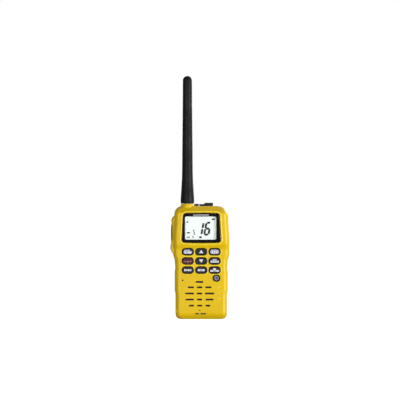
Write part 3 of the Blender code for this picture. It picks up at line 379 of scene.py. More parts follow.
MATERIALS = {
    "yellow_plastic": yellow_plastic(),
    "yellow_painted_highlight": yellow_painted_highlight(),
    "black_plastic": black_plastic(),
    "gloss_black": piano_black(),
    "clear_window": clear_window(),
    "lcd_glass": lcd_face_painted_glow(),
    "backlight": ink("backlight_panel", (0.86, 0.87, 0.84), (0.78, 0.79, 0.77)),
    "key_black": soft_rubber("key_rubber_black", (0.0040, 0.0040, 0.0050), 0.42, 1600.0),
    "key_red": soft_rubber("key_rubber_red", (0.045, 0.0030, 0.0040), 0.42, 1600.0),
    "rubber": soft_rubber("rubber_black", (0.0045, 0.0048, 0.0055), 0.55, 1500.0),
    "whip": whip_rubber(),
    "seal_rubber": soft_rubber("seal_black", (0.008, 0.008, 0.009), 0.75, 1200.0),
    "grey_silicone": soft_rubber("silicone_grey", (0.30, 0.31, 0.32), 0.65, 1200.0),
    "circuit_board": circuit_board(),
    "tinned_steel": metal("tinned_steel", (0.66, 0.67, 0.68), (0.42, 0.43, 0.45), 0.26),
    "dark_steel": metal("screw_steel", (0.09, 0.09, 0.10), (0.04, 0.04, 0.045), 0.34),
    "spring_steel": metal("spring_steel", (0.58, 0.58, 0.60), (0.35, 0.35, 0.37), 0.24),
    "brass": metal("plated_brass", (0.80, 0.60, 0.27), (0.52, 0.36, 0.13), 0.24),
    "magnet": metal("magnet_steel", (0.20, 0.20, 0.21), (0.10, 0.10, 0.11), 0.36),
    "paper_cone": soft_rubber("paper_cone", (0.030, 0.029, 0.028), 0.80, 900.0),
    "acoustic_cloth": woven_cloth(),
    "cell_wrap": shrink_wrap(),
    "print_white": ink("print_white", (0.80, 0.80, 0.84), (0.62, 0.62, 0.74)),
    "print_lilac": ink("print_lilac", (0.43, 0.42, 0.54), (0.60, 0.60, 0.68)),
    "print_rose": ink("print_rose", (0.42, 0.15, 0.13), (0.26, 0.07, 0.08)),
    "print_grey": ink("print_grey", (0.40, 0.40, 0.44), (0.30, 0.30, 0.33)),
    "print_violet": ink("print_violet", (0.16, 0.12, 0.42), (0.24, 0.20, 0.52)),
    "segment_ink": ink("segment_ink", (0.010, 0.011, 0.012), (0.020, 0.022, 0.024), 0.35),
    "segment_faint": ink("segment_faint", (0.20, 0.22, 0.23), (0.28, 0.30, 0.30), 0.35),
    "stamp_dark": ink("stamp_dark", (0.075, 0.032, 0.003), (0.20, 0.10, 0.005), 0.5),
}


# ---------------------------------------------------------------- making pieces
PIECES = []


def as_object(name, shape):
    """Turn a bmesh into an object in the scene, with its faces outwards."""
    bmesh.ops.recalc_face_normals(shape, faces=shape.faces)
    mesh = bpy.data.meshes.new(name)
    shape.to_mesh(mesh)
    shape.free()
    obj = bpy.data.objects.new(name, mesh)
    bpy.context.scene.collection.objects.link(obj)
    return obj


def piece(name, shape, finish, body, replaced=(), smooth_deg=35.0):
    """Turn a bmesh into a piece that rides on a body, takes a material slot and may stand for CAD nodes."""
    obj = as_object(name, shape)
    obj.data.materials.append(MATERIALS[finish])
    smooth(obj, smooth_deg)
    PIECES.append(obj)
    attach(obj, body)
    if replaced:
        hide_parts(*replaced)
    return obj


def smooth(obj, degrees):
    obj.data.shade_smooth()
    obj.data.set_sharp_from_angle(angle=math.radians(degrees))


def carve(obj, shape, operation="DIFFERENCE", smooth_deg=35.0):
    """Apply a Boolean of a helper shape at once, and drop the helper."""
    helper = as_object("helper", shape)
    mesh = helper.data
    modifier = obj.modifiers.new("carve", "BOOLEAN")
    modifier.operation = operation
    modifier.solver = "EXACT"
    modifier.object = helper
    graph = bpy.context.evaluated_depsgraph_get()
    result = bpy.data.meshes.new_from_object(obj.evaluated_get(graph))
    old = obj.data
    obj.modifiers.clear()
    obj.data = result
    bpy.data.meshes.remove(old)
    bpy.data.objects.remove(helper)
    bpy.data.meshes.remove(mesh)
    smooth(obj, smooth_deg)


def even_shading(obj):
    """Let the large faces set the normals, so that they shade flat up to their rounded edges."""
    modifier = obj.modifiers.new("even_shading", "WEIGHTED_NORMAL")
    modifier.keep_sharp = True


def rounded(obj, width, segments=2, angle=35.0):
    """Round the piece's sharp edges."""
    modifier = obj.modifiers.new("edge_round", "BEVEL")
    modifier.width = width
    modifier.segments = segments
    modifier.limit_method = "ANGLE"
    modifier.angle_limit = math.radians(angle)
    modifier.harden_normals = True


# ---------------------------------------------------------------- outlines and shapes
def oblong(centre, size, radius, steps=6):
    """A rectangle with round corners."""
    half = (size[0] / 2 - radius, size[1] / 2 - radius)
    points = []
    for quarter, (sx, sy) in enumerate(((1, 1), (-1, 1), (-1, -1), (1, -1))):
        for i in range(steps + 1):
            angle = math.radians(90 * quarter + 90 * i / steps)
            points.append((
                centre[0] + sx * half[0] + radius * math.cos(angle),
                centre[1] + sy * half[1] + radius * math.sin(angle),
            ))
    return points


def grown(centre, size, corner, by, steps=6):
    """A rectangle with round corners, grown by a distance on every side."""
    return oblong(centre, (size[0] + 2 * by, size[1] + 2 * by), corner + by, steps)


def side_points(outline, count=14):
    """The same outline with more points along its two upright sides, to follow a curved face."""
    per_corner = len(outline) // 4
    full = []
    for i, (u, v) in enumerate(outline):
        full.append((u, v))
        if i + 1 in (2 * per_corner, 4 * per_corner):
            end_u, end_v = outline[(i + 1) % len(outline)]
            for k in range(1, count + 1):
                share = k / (count + 1)
                full.append((u + (end_u - u) * share, v + (end_v - v) * share))
    return full


def circle(centre, radius, steps=32):
    u, v = centre
    turn = 2 * math.pi / steps
    return [(u + radius * math.cos(i * turn), v + radius * math.sin(i * turn)) for i in range(steps)]


def lens_outline(grow=0.0, steps=8):
    """The lens from the front: wider at the bottom, with round corners and bowed ends."""
    radius = LENS_CORNER + grow
    low, high = LENS_LOW_Z - grow, LENS_HIGH_Z + grow
    corners = (
        (1, high, LENS_HIGH_HALF), (-1, high, LENS_HIGH_HALF),
        (-1, low, LENS_LOW_HALF), (1, low, LENS_LOW_HALF),
    )
    points = []
    for quarter, (sx, z, half) in enumerate(corners):
        up = 1 if quarter < 2 else -1
        middle = (sx * (half + grow - radius), z - up * radius)
        corner = []
        for i in range(steps + 1):
            angle = math.radians(90 * quarter + 90 * i / steps)
            corner.append((middle[0] + radius * math.cos(angle), middle[1] + radius * math.sin(angle)))
        edge = [(sx * half * step, z) for step in (0.72, 0.54, 0.36, 0.18)]
        points += corner + edge if quarter in (0, 2) else edge[::-1] + corner
    centre_z = (low + high) / 2
    bowed = []
    for x, z in points:
        up = 1 if z > centre_z else -1
        near_edge = min(1.0, abs(z - centre_z) / (high - centre_z))
        bowed.append((x, z + up * LENS_ARCH * near_edge ** 8 * (1 - (x / LENS_LOW_HALF) ** 2)))
    return bowed


def put(axis, u, v, along):
    if axis == "X":
        return Vector((along, u, v))
    if axis == "Y":
        return Vector((u, along, v))
    return Vector((u, v, along))


def loft(shape, rings, closed=False):
    """Skin rings that have the same number of points, with flat ends or closed round into a loop."""
    loops = [[shape.verts.new(point) for point in ring] for ring in rings]
    count = len(loops[0])
    pairs = list(zip(loops, loops[1:])) + ([(loops[-1], loops[0])] if closed else [])
    for lower, upper in pairs:
        for i in range(count):
            after = (i + 1) % count
            shape.faces.new((lower[i], lower[after], upper[after], upper[i]))
    if not closed:
        shape.faces.new(loops[0][::-1])
        shape.faces.new(loops[-1])


def stepped(shape, axis, steps, closed=False):
    """Skin outlines placed along an axis; each step is (distance along, outline)."""
    loft(shape, [[put(axis, u, v, along) for u, v in outline] for along, outline in steps], closed)


def prism(shape, axis, outline, start, end):
    stepped(shape, axis, ((start, outline), (end, outline)))


def box(shape, low, high):
    (x0, y0, z0), (x1, y1, z1) = low, high
    prism(shape, "Z", ((x0, y0), (x1, y0), (x1, y1), (x0, y1)), z0, z1)


def turned(shape, axis, centre, profile, steps=48):
    """Turn a profile of (radius, distance along) about an axis through the centre; radius 0 closes an end."""
    rings = []
    for radius, along in profile:
        outline = circle(centre, radius, steps) if radius else [centre]
        rings.append([shape.verts.new(put(axis, u, v, along)) for u, v in outline])
    closed = profile[0][0] != 0
    for lower, upper in list(zip(rings, rings[1:])) + ([(rings[-1], rings[0])] if closed else []):
        for i in range(steps):
            after = (i + 1) % steps
            near, far = len(lower), len(upper)
            corners = (lower[i % near], lower[after % near], upper[after % far], upper[i % far])
            shape.faces.new(list(dict.fromkeys(corners)))


def mouth(shape, outline, surface_y, end_y, lip=0.00045):
    """A cutter along Y with a rounded mouth: outline(grow) gives the opening's edge."""
    steps = [(surface_y - 0.002, outline(lip))]
    for angle in (0, 30, 60, 90):
        turn = math.radians(angle)
        steps.append((surface_y + lip * (1 - math.cos(turn)), outline(lip * (1 - math.sin(turn)))))
    steps.append((end_y, outline(0.0)))
    stepped(shape, "Y", steps)


# ---------------------------------------------------------------- the body's form
def along_profile(profile, z, eased=False):
    for (z0, v0), (z1, v1) in zip(profile, profile[1:]):
        if z <= z1:
            share = min(max((z - z0) / (z1 - z0), 0.0), 1.0)
            if eased:
                share = share * share * (3 - 2 * share)
            return v0 + (v1 - v0) * share
    return profile[-1][1]


def softened(profile, z, reach=0.0011):
    """The profile with its corners rounded over a short reach, never further out than the profile's ends."""
    reach = min(reach, z, BODY_TOP - z)
    offsets = (-1.0, -0.5, 0.0, 0.5, 1.0)
    return sum(along_profile(profile, z + reach * o) for o in offsets) / len(offsets)


def corner_inset(radius, depth_into_corner):
    depth = min(max(depth_into_corner, 0.0), radius)
    return radius - math.sqrt(radius * radius - depth * depth)


def half_width(z):
    inset = corner_inset(BASE_CORNER, BASE_CORNER - z) + corner_inset(TOP_CORNER, z - (BODY_TOP - TOP_CORNER))
    return along_profile(WIDTH_PROFILE, z, eased=True) - inset


def left_share(z):
    """The half width on the left as a share of the one on the right; they differ only at the shoulders."""
    right = half_width(z)
    gained = corner_inset(TOP_CORNER, z - (BODY_TOP - TOP_CORNER))
    lost = corner_inset(LEFT_TOP_CORNER, z - (BODY_TOP - LEFT_TOP_CORNER))
    return (right + gained - lost) / right


def front_y(z):
    return softened(FRONT_PROFILE, z, 0.0020 if z < 0.1000 else 0.0011)


def back_y(z):
    return softened(BACK_PROFILE, z) - corner_inset(TOP_BACK_RADIUS, z - (BODY_TOP - TOP_BACK_RADIUS))


def heights(low, high, step=0.0011):
    """Even levels between two heights, closer together inside the round ends."""
    wanted = [low, high]
    count = round((high - low) / step)
    wanted += [low + (high - low) * i / count for i in range(1, count)]
    for angle in range(0, 91, 10):
        inward = 1 - math.sin(math.radians(angle))
        wanted.append(BASE_CORNER * inward)
        wanted += [BODY_TOP - corner * inward for corner in (TOP_CORNER, LEFT_TOP_CORNER)]
    kept = []
    for z in wanted:
        if low <= z <= high and all(abs(z - other) > 0.00005 for other in kept):
            kept.append(z)
    return sorted(kept)


def crown(y):
    """How far the sides draw in away from their fullest line, front to back."""
    if y < SEAM_Y:
        return 0.00038 * ((y + 0.0055) / 0.0095) ** 2
    return 0.00038 + 0.035 * (y - SEAM_Y)


def shell_ring(z, rim_y, face_y, half, corner, side_steps, corner_steps, pressed=None):
    """One level of a shell: square at the rim, with crowned sides and two round corners at its face."""
    facing = 1 if face_y > rim_y else -1
    radius = min(corner, 0.8 * abs(face_y - rim_y), 0.8 * half)
    start = face_y - facing * radius
    right = [(half, rim_y + (start - rim_y) * i / side_steps) for i in range(side_steps)]
    for i in range(corner_steps + 1):
        angle = math.radians(90 * i / corner_steps)
        out, back = radius * math.cos(angle), radius * (1 - math.sin(angle))
        right.append((half - radius + out, face_y - facing * back))
    full = []
    for x, y in right:
        x -= crown(y) * min(1.0, x / half) ** 4
        if pressed is not None:
            x -= pressed(y, z)
        full.append((x, y))
    left = -left_share(z)
    return [Vector((x, y, z)) for x, y in full] + [Vector((left * x, y, z)) for x, y in reversed(full)]


def bell(value, middle, reach):
    """1 at the middle, falling smoothly to 0 at this reach."""
    share = min(abs(value - middle) / reach, 1.0)
    return 0.5 + 0.5 * math.cos(math.pi * share)


def plateau(value, low, high, blend):
    """1 between two limits, falling smoothly to 0 outside them."""
    up = min(max((value - low + blend) / blend, 0.0), 1.0)
    down = min(max((high + blend - value) / blend, 0.0), 1.0)
    share = min(up, down)
    return share * share * (3 - 2 * share)


GRIP_GROOVES_Y = (-0.0098, -0.0066, -0.0034)


def grip_grooves(y, z):
    """Three upright grooves pressed into each side pad."""
    depth = 0.0
    for middle in GRIP_GROOVES_Y:
        depth += 0.00055 * bell(y, middle, 0.0011)
    return depth * plateau(z, 0.0365, 0.0510, 0.0035)


def rear_ribs(y, z):
    """Fine finger ribs on the rear shell's sides beside the clip."""
    wave = 0.5 - 0.5 * math.cos(2 * math.pi * (z - 0.1010) / 0.0026)
    return 0.00032 * wave * plateau(z, 0.1015, 0.1175, 0.0006) * plateau(y, 0.0078, 0.0125, 0.0012)


# ---------------------------------------------------------------- housing
def speaker_slots():
    for z, *slots in SLOT_ROWS:
        for left, right in slots:
            yield (left + right) / 2, z, right - left


def front_shell():
    shape = bmesh.new()
    loft(shape, [
        shell_ring(z, SEAM_Y, front_y(z), half_width(z), FRONT_CORNER, 30, 12, grip_grooves)
        for z in heights(0.0, BODY_TOP)
    ])
    shell = piece("front_shell", shape, "yellow_plastic", "radio", ("front_case",))
    cavity = bmesh.new()
    loft(cavity, [
        shell_ring(
            z, SEAM_Y + WALL, max(CAVITY_FRONT_Y, front_y(z) + WALL),
            half_width(z) - WALL, FRONT_CORNER - WALL, 2, 5,
        )
        for z in heights(CAVITY_LOW, CAVITY_HIGH, 0.0040)
    ])
    carve(shell, cavity)

    boss = bmesh.new()
    foot, rim = BOSS_RADIUS + 0.0004, 0.0006
    turned(boss, "Z", ANTENNA_AXIS, (
        (0, 0.1268), (foot, 0.1268), (foot, 0.1298), (BOSS_RADIUS + 0.0001, 0.1307),
        (BOSS_RADIUS, BOSS_TOP - rim), (BOSS_RADIUS - 0.3 * rim, BOSS_TOP - 0.3 * rim),
        (BOSS_RADIUS - rim, BOSS_TOP), (0, BOSS_TOP),
    ))
    behind = bmesh.new()
    box(behind, (-0.05, SEAM_Y, 0.10), (0.05, 0.05, 0.14))
    carve(shell, boss, "UNION")
    carve(shell, behind)

    posts = bmesh.new()
    for centre in BODY_SCREWS:
        prism(posts, "Y", circle(centre, 0.0028, 20), CAVITY_FRONT_Y - 0.0005, SEAM_Y - 0.0002)
    carve(shell, posts, "UNION")

    openings = bmesh.new()
    inner = CAVITY_FRONT_Y + 0.001
    mouth(openings, lambda grow: lens_outline(GAP + grow), DISPLAY_Y, LENS_BACK_Y + GAP, lip=0.0005)
    for name in KEY_NAMES:
        centre = centre_of(name)
        mouth(openings, lambda grow: grown(centre, KEY_SIZE, KEY_CORNER, GAP + grow), FACE_Y, inner)
    power = bmesh.new()
    mouth(power, lambda grow: circle(POWER_CENTRE, POWER_RADIUS + 0.00025 + grow), FACE_Y, inner)
    carve(shell, power)
    for x, z, width in speaker_slots():
        size = (width + 0.0004, SLOT_HEIGHT + 0.0005)
        mouth(openings, lambda grow: grown((x, z), size, 0.00090, grow, 4), FACE_Y, inner, lip=0.00016)
    mouth(openings, lambda grow: circle(MIC_CENTRE, 0.0009 + grow, 20), FACE_Y, inner, lip=0.0003)
    for centre in BODY_SCREWS:
        prism(openings, "Y", circle(centre, 0.0014, 12), -0.0080, SEAM_Y + 0.001)
    carve(shell, openings)

    through = bmesh.new()
    prism(through, "Y", oblong(WINDOW_CENTRE, (0.0371, 0.0279), 0.0012, 3), DISPLAY_Y - 0.003, inner)
    prism(through, "X", grown(PTT_CENTRE, PTT_SIZE, PTT_CORNER, 2 * GAP), -0.0400, -0.0270)
    prism(through, "Z", circle(ANTENNA_AXIS, 0.0035), 0.1260, BOSS_TOP + 0.001)
    carve(shell, through)
    groove = bmesh.new()
    near, far, low, high = 0.0046, 0.0066, 0.1318, 0.1335
    turned(groove, "Z", ANTENNA_AXIS, ((near, low), (far, low), (far, high), (near, high)))
    carve(shell, groove)
    return shell


def bead(shape, outline_at, y, width, height, steps=6):
    """A half-round bead standing on a face along a closed outline; outline_at(grow) gives the outline."""
    rings = []
    for i in range(steps + 1):
        angle = math.radians(180 * i / steps)
        rings.append((y - height * math.sin(angle), outline_at(-0.5 * width * math.cos(angle))))
    rings.append((y + 0.0003, outline_at(0.5 * width)))
    rings.append((y + 0.0003, outline_at(-0.5 * width)))
    stepped(shape, "Y", rings, closed=True)


def rib(shape, middle_at, fullest, side, out):
    """A slim rib, thin at both ends; middle_at(share) gives its middle line, side and out its section."""
    rings = []
    for i in range(13):
        share = i / 12
        size = fullest * math.sin(math.pi * min(max(share, 0.03), 0.97)) ** 0.5
        turns = (2 * math.pi * k / 10 for k in range(10))
        rings.append([middle_at(share) + size * (side * math.cos(a) + out * math.sin(a)) for a in turns])
    loft(shape, rings)


def plate(name, outline, front, back, finish, body):
    """A flat piece that faces the front."""
    shape = bmesh.new()
    prism(shape, "Y", outline, front, back)
    piece(name, shape, finish, body)


def microphone_felt():
    front, back, cloth = FACE_Y + 0.0009, FACE_Y + 0.0013, "acoustic_cloth"
    plate("microphone_felt", circle(MIC_CENTRE, 0.00088, 20), front, back, cloth, "radio")


def front_trim():
    """The low bead round the lens, the strokes beside the speaker and the two plain marks at the bottom."""
    shape = bmesh.new()
    bead(shape, lambda grow: lens_outline(0.0015 + grow), DISPLAY_Y, 0.0014, 0.00038)
    # The lens bead is painted a lighter yellow: a painted highlight on its rim.
    piece("lens_surround", shape, "yellow_painted_highlight", "radio")
    for name in KEY_NAMES:
        centre = centre_of(name)
        shape = bmesh.new()
        bead(
            shape, lambda grow: grown(centre, KEY_SIZE, KEY_CORNER, 0.00115 + grow, 8),
            FACE_Y, 0.00090, 0.00024,
        )
        # Each key's rim bead is painted a lighter yellow: a painted highlight.
        piece(name + "_rim", shape, "yellow_painted_highlight", "radio")

    for number, z in enumerate((0.0368, 0.0302, 0.0236), start=1):
        shape = bmesh.new()
        y = FACE_Y + 0.00010
        start, end = Vector((0.0190, y, z - 0.0013)), Vector((0.0226, y, z + 0.0019))
        along = (end - start).normalized()
        across = Vector((-along.z, 0.0, along.x))
        rib(
            shape, lambda share: start.lerp(end, share) + across * 0.0004 * math.sin(math.pi * share),
            0.00070, across, Vector((0.0, 0.62, 0.0)),
        )
        # The thumb ribs are painted a lighter yellow: a painted highlight.
        piece(f"thumb_rib_{number}", shape, "yellow_painted_highlight", "radio", smooth_deg=60.0)

    marks = (
        ("dot", (-0.0018, 0.0106), (0.0019, 0.0014), 0.00068),
        ("bar_1", (-0.0046, 0.0066), (0.0042, 0.0018), 0.00060),
        ("bar_2", (0.0023, 0.0066), (0.0062, 0.0018), 0.00060),
    )
    front, back = FACE_Y - 0.00006, FACE_Y + 0.0001
    for name, centre, size, corner in marks:
        outline = oblong(centre, size, corner, 4)
        plate("base_mark_" + name, outline, front, back, "stamp_dark", "radio")


def t_outline(middle, neck, head, root_y, head_y, top_y):
    """A T seen from above, from the half widths of its neck and head."""
    return (
        (middle - neck, root_y), (middle + neck, root_y), (middle + neck, head_y), (middle + head, head_y),
        (middle + head, top_y), (middle - head, top_y), (middle - head, head_y), (middle - neck, head_y),
    )


def rear_shell():
    shape = bmesh.new()
    loft(shape, [
        shell_ring(z, REAR_RIM_Y, back_y(z), half_width(z), BACK_CORNER, 26, 12, rear_ribs)
        for z in heights(0.0, BODY_TOP, 0.0006)
    ])
    shell = piece("rear_shell", shape, "black_plastic", "radio", ("rear_case",))
    upper = bmesh.new()
    loft(upper, [
        shell_ring(z, SEAM_Y, back_y(z) - WALL, half_width(z) - WALL, BACK_CORNER - WALL, 2, 5)
        for z in heights(BAY_TOP + WALL, CAVITY_HIGH, 0.0040)
    ])
    carve(shell, upper)
    lower = bmesh.new()
    loft(lower, [
        shell_ring(z, SEAM_Y, TRAY_Y - WALL, half_width(z) - WALL, 0.0010, 2, 3)
        for z in heights(CAVITY_LOW, BAY_TOP + 1.5 * WALL, 0.0040)
    ])
    carve(shell, lower)
    bay = bmesh.new()
    box(bay, (-0.040, TRAY_Y, -0.005), (0.040, 0.030, BAY_TOP))
    carve(shell, bay)

    additions = bmesh.new()
    for centre in BODY_SCREWS:
        end = TRAY_Y - 0.0001 if centre[1] < BAY_TOP else BACK_Y - 0.0010
        prism(additions, "Y", circle(centre, 0.0032, 20), REAR_RIM_Y + 0.0001, end)
    for side in (-1, 1):
        rail = t_outline(side * RAIL_X, 0.0004, 0.0008, TRAY_Y - 0.0004, 0.0100, 0.0113)
        prism(additions, "Z", rail, 0.0150, 0.0715)
    carve(shell, additions, "UNION")

    openings = bmesh.new()
    for centre in BODY_SCREWS:
        seat = 0.0066 if centre[1] < BAY_TOP else 0.0120
        turned(openings, "Y", centre, (
            (0, 0.0040), (0.0014, 0.0040), (0.0014, seat), (0.0025, seat), (0.0025, 0.0190), (0, 0.0190),
        ), steps=24)
    for node in ("radio_contact_plus", "radio_contact_minus"):
        prism(openings, "Y", circle(centre_of(node), 0.0013, 20), 0.0050, 0.0100)
    for node in ("clip_screw_left", "clip_screw_right"):
        prism(openings, "Y", circle(centre_of(node), 0.0013, 16), 0.0150, 0.0190)
    tops = (("speaker_jack", 0.0033, 32), ("mic_jack", 0.0029, 32), ("jack_cover_screw", 0.0013, 16))
    for node, radius, steps in tops:
        prism(openings, "Z", circle(tuple(size_of(node)[2].xy), radius, steps), 0.1270, 0.1320)
    carve(shell, openings)
    return shell


def seal_band():
    """The rubber seal squeezed between the shells, showing as a dark groove."""
    def outline(inset):
        wanted = heights(0.0, BODY_TOP, 0.0030)
        placed = [inset + z * (BODY_TOP - 2 * inset) / BODY_TOP for z in wanted]
        right = [(half_width(z) - crown(SEAM_Y) - inset, h) for z, h in zip(wanted, placed)]
        return right + [(-left_share(h) * x, h) for x, h in reversed(right)]

    shape = bmesh.new()
    sliver = 0.00001
    stepped(shape, "Y", (
        (SEAM_Y + sliver, outline(0.0006)), (REAR_RIM_Y - sliver, outline(0.0006)),
        (REAR_RIM_Y - sliver, outline(0.0022)), (SEAM_Y + sliver, outline(0.0022)),
    ), closed=True)
    piece("seal_band", shape, "seal_rubber", "radio", ("case_seal",))


# ---------------------------------------------------------------- display
def display():
    bezel = bmesh.new()
    edge = 0.0005
    rings = [(LENS_BACK_Y, lens_outline())]
    for angle in (0, 30, 60, 90):
        turn = math.radians(angle)
        rings.append((LENS_FRONT_Y + edge * (1 - math.sin(turn)), lens_outline(-edge * (1 - math.cos(turn)))))
    stepped(bezel, "Y", rings)
    black, clear = "gloss_black", "clear_window"
    bezel = piece("lens_frame", bezel, black, "radio", ("lens_bezel",), smooth_deg=40.0)
    opening = bmesh.new()
    mouth(
        opening, lambda grow: grown(WINDOW_CENTRE, WINDOW_SIZE, 0.0015, grow),
        LENS_FRONT_Y, LENS_BACK_Y + 0.001, lip=0.00020,
    )
    carve(bezel, opening, smooth_deg=40.0)

    window = bmesh.new()
    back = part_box("display_window")[1][1]
    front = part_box("display_window")[0][1]
    soft = 0.00025
    pane = (WINDOW_SIZE[0] - 0.0002, WINDOW_SIZE[1] - 0.0002)
    steps = [(back, 0.0), (front + soft, 0.0), (front + 0.3 * soft, -0.3 * soft), (front, -soft)]
    stepped(window, "Y", [(y, grown(WINDOW_CENTRE, pane, 0.0014, grow)) for y, grow in steps])
    piece("lens_window", window, clear, "radio", ("display_window",), smooth_deg=40.0)

    outline = oblong((-0.0002, 0.1201), (0.0180, 0.0014), 0.0005, 4)
    front, back = LENS_FRONT_Y - 0.00001, LENS_FRONT_Y + 0.0001
    plate("lens_rule", outline, front, back, "print_grey", "radio")


INK_FRONT_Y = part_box("lcd_panel")[0][1] - 0.00008
INK_BACK_Y = INK_FRONT_Y + 0.00006
SLANT = 0.19
DIGIT_WIDTH, DIGIT_HEIGHT, SEGMENT = 0.0049, 0.0137, 0.0024
DIGIT_LOW_Z = 0.0976
SEGMENTS = {"1": "bc", "6": "acdefg"}


def segment_outline(start, end, thick):
    """A long hexagon between two points, as display segments are."""
    (x0, z0), (x1, z1) = start, end
    length = math.hypot(x1 - x0, z1 - z0)
    ux, uz = (x1 - x0) / length, (z1 - z0) / length
    half = thick / 2
    points = []
    for along, side in (
        (0.0, 0.0), (half, 1.0), (length - half, 1.0), (length, 0.0), (length - half, -1.0), (half, -1.0),
    ):
        x, z = x0 + ux * along - uz * half * side, z0 + uz * along + ux * half * side
        points.append((x + SLANT * (z - DIGIT_LOW_Z), z))
    return points


def lcd_mark(name, outline, finish="segment_ink"):
    plate(name, outline, INK_FRONT_Y, INK_BACK_Y, finish, "radio")


def display_ink():
    """The channel digits and the small marks on the display."""
    gap = 0.0001
    for digit, left in (("1", -0.0047), ("6", 0.0035)):
        right = left + DIGIT_WIDTH
        low, middle, high = DIGIT_LOW_Z, DIGIT_LOW_Z + DIGIT_HEIGHT / 2, DIGIT_LOW_Z + DIGIT_HEIGHT
        places = {
            "a": ((left + gap, high), (right - gap, high)),
            "g": ((left + gap, middle), (right - gap, middle)),
            "d": ((left + gap, low), (right - gap, low)),
            "f": ((left, middle + gap), (left, high - gap)),
            "e": ((left, low + gap), (left, middle - gap)),
            "b": ((right, middle + gap), (right, high - gap)),
            "c": ((right, low + gap), (right, middle - gap)),
        }
        for key in SEGMENTS[digit]:
            lcd_mark(f"digit_{digit}_segment_{key}", segment_outline(*places[key], SEGMENT))

    blocks = (
        ("lcd_battery", (0.0139, 0.1153), (0.0032, 0.0018), 0.0004, "segment_ink"),
        ("lcd_battery_tip", (0.0159, 0.1153), (0.0005, 0.0008), 0.0002, "segment_ink"),
        ("lcd_power_bar", (-0.0146, 0.0997), (0.0042, 0.0014), 0.0005, "segment_ink"),
        ("lcd_power_bar_low", (-0.0147, 0.0946), (0.0038, 0.0012), 0.0005, "segment_faint"),
        ("lcd_lock", (-0.0009, 0.0946), (0.0032, 0.0024), 0.0011, "segment_ink"),
        ("lcd_channel_dash", (0.0156, 0.0983), (0.0016, 0.0006), 0.0002, "segment_faint"),
    )
    for name, centre, size, radius, finish in blocks:
        lcd_mark(name, oblong(centre, size, radius, 4), finish)
    lcd_mark("lcd_arrow", [(-0.0170, 0.1112), (-0.0150, 0.1112), (-0.0156, 0.1132), (-0.0163, 0.1132)])
    strokes = (
        ((-0.0098, 0.1036), (-0.0092, 0.1008)), ((-0.0092, 0.1002), (-0.0074, 0.0990)),
        ((-0.0078, 0.0986), (-0.0084, 0.0972)), ((-0.0092, 0.0968), (-0.0096, 0.0952)),
        ((-0.0094, 0.0950), (-0.0080, 0.0938)),
    )
    for number, (start, end) in enumerate(strokes, start=1):
        lcd_mark(f"lcd_side_segment_{number}", segment_outline(start, end, 0.0012))


# ---------------------------------------------------------------- keys
def key_cap(name, centre, size, corner, finish, steps=8):
    """A rubber key: flange, straight sides, rolled front edge and a flat top."""
    def outline(grow):
        return grown(centre, size, corner, grow, steps)

    flange_front = CAVITY_FRONT_Y + GAP
    roll = 0.0009
    levels = [(flange_front + 0.0008, outline(0.0005)), (flange_front, outline(0.0005))]
    levels.append((flange_front, outline(0.0)))
    for angle in range(0, 91, 15):
        turn = math.radians(angle)
        level = KEY_FRONT_Y + 0.00005 + roll * 0.75 * (1 - math.sin(turn))
        levels.append((level, outline(-roll * (1 - math.cos(turn)))))
    shape = bmesh.new()
    stepped(shape, "Y", levels)
    body = "power_cap" if name == "power_key" else name + "_cap"
    piece(name + "_cap_top", shape, finish, body, (name,))


def label(name, body, outline, finish="print_white", depth=0.0):
    plate(name, outline, KEY_FRONT_Y + depth, KEY_FRONT_Y + 0.0002, finish, body)


def arch(centre, width, height, steps=12):
    """A flat-bottomed dome."""
    u, v = centre
    turns = [math.pi * i / steps for i in range(steps + 1)]
    return [(u + width / 2 * math.cos(turn), v + height * math.sin(turn)) for turn in turns]


# Ink and depth of the fields behind the keys' marks.
FIELD = ("print_lilac", 0.00003)


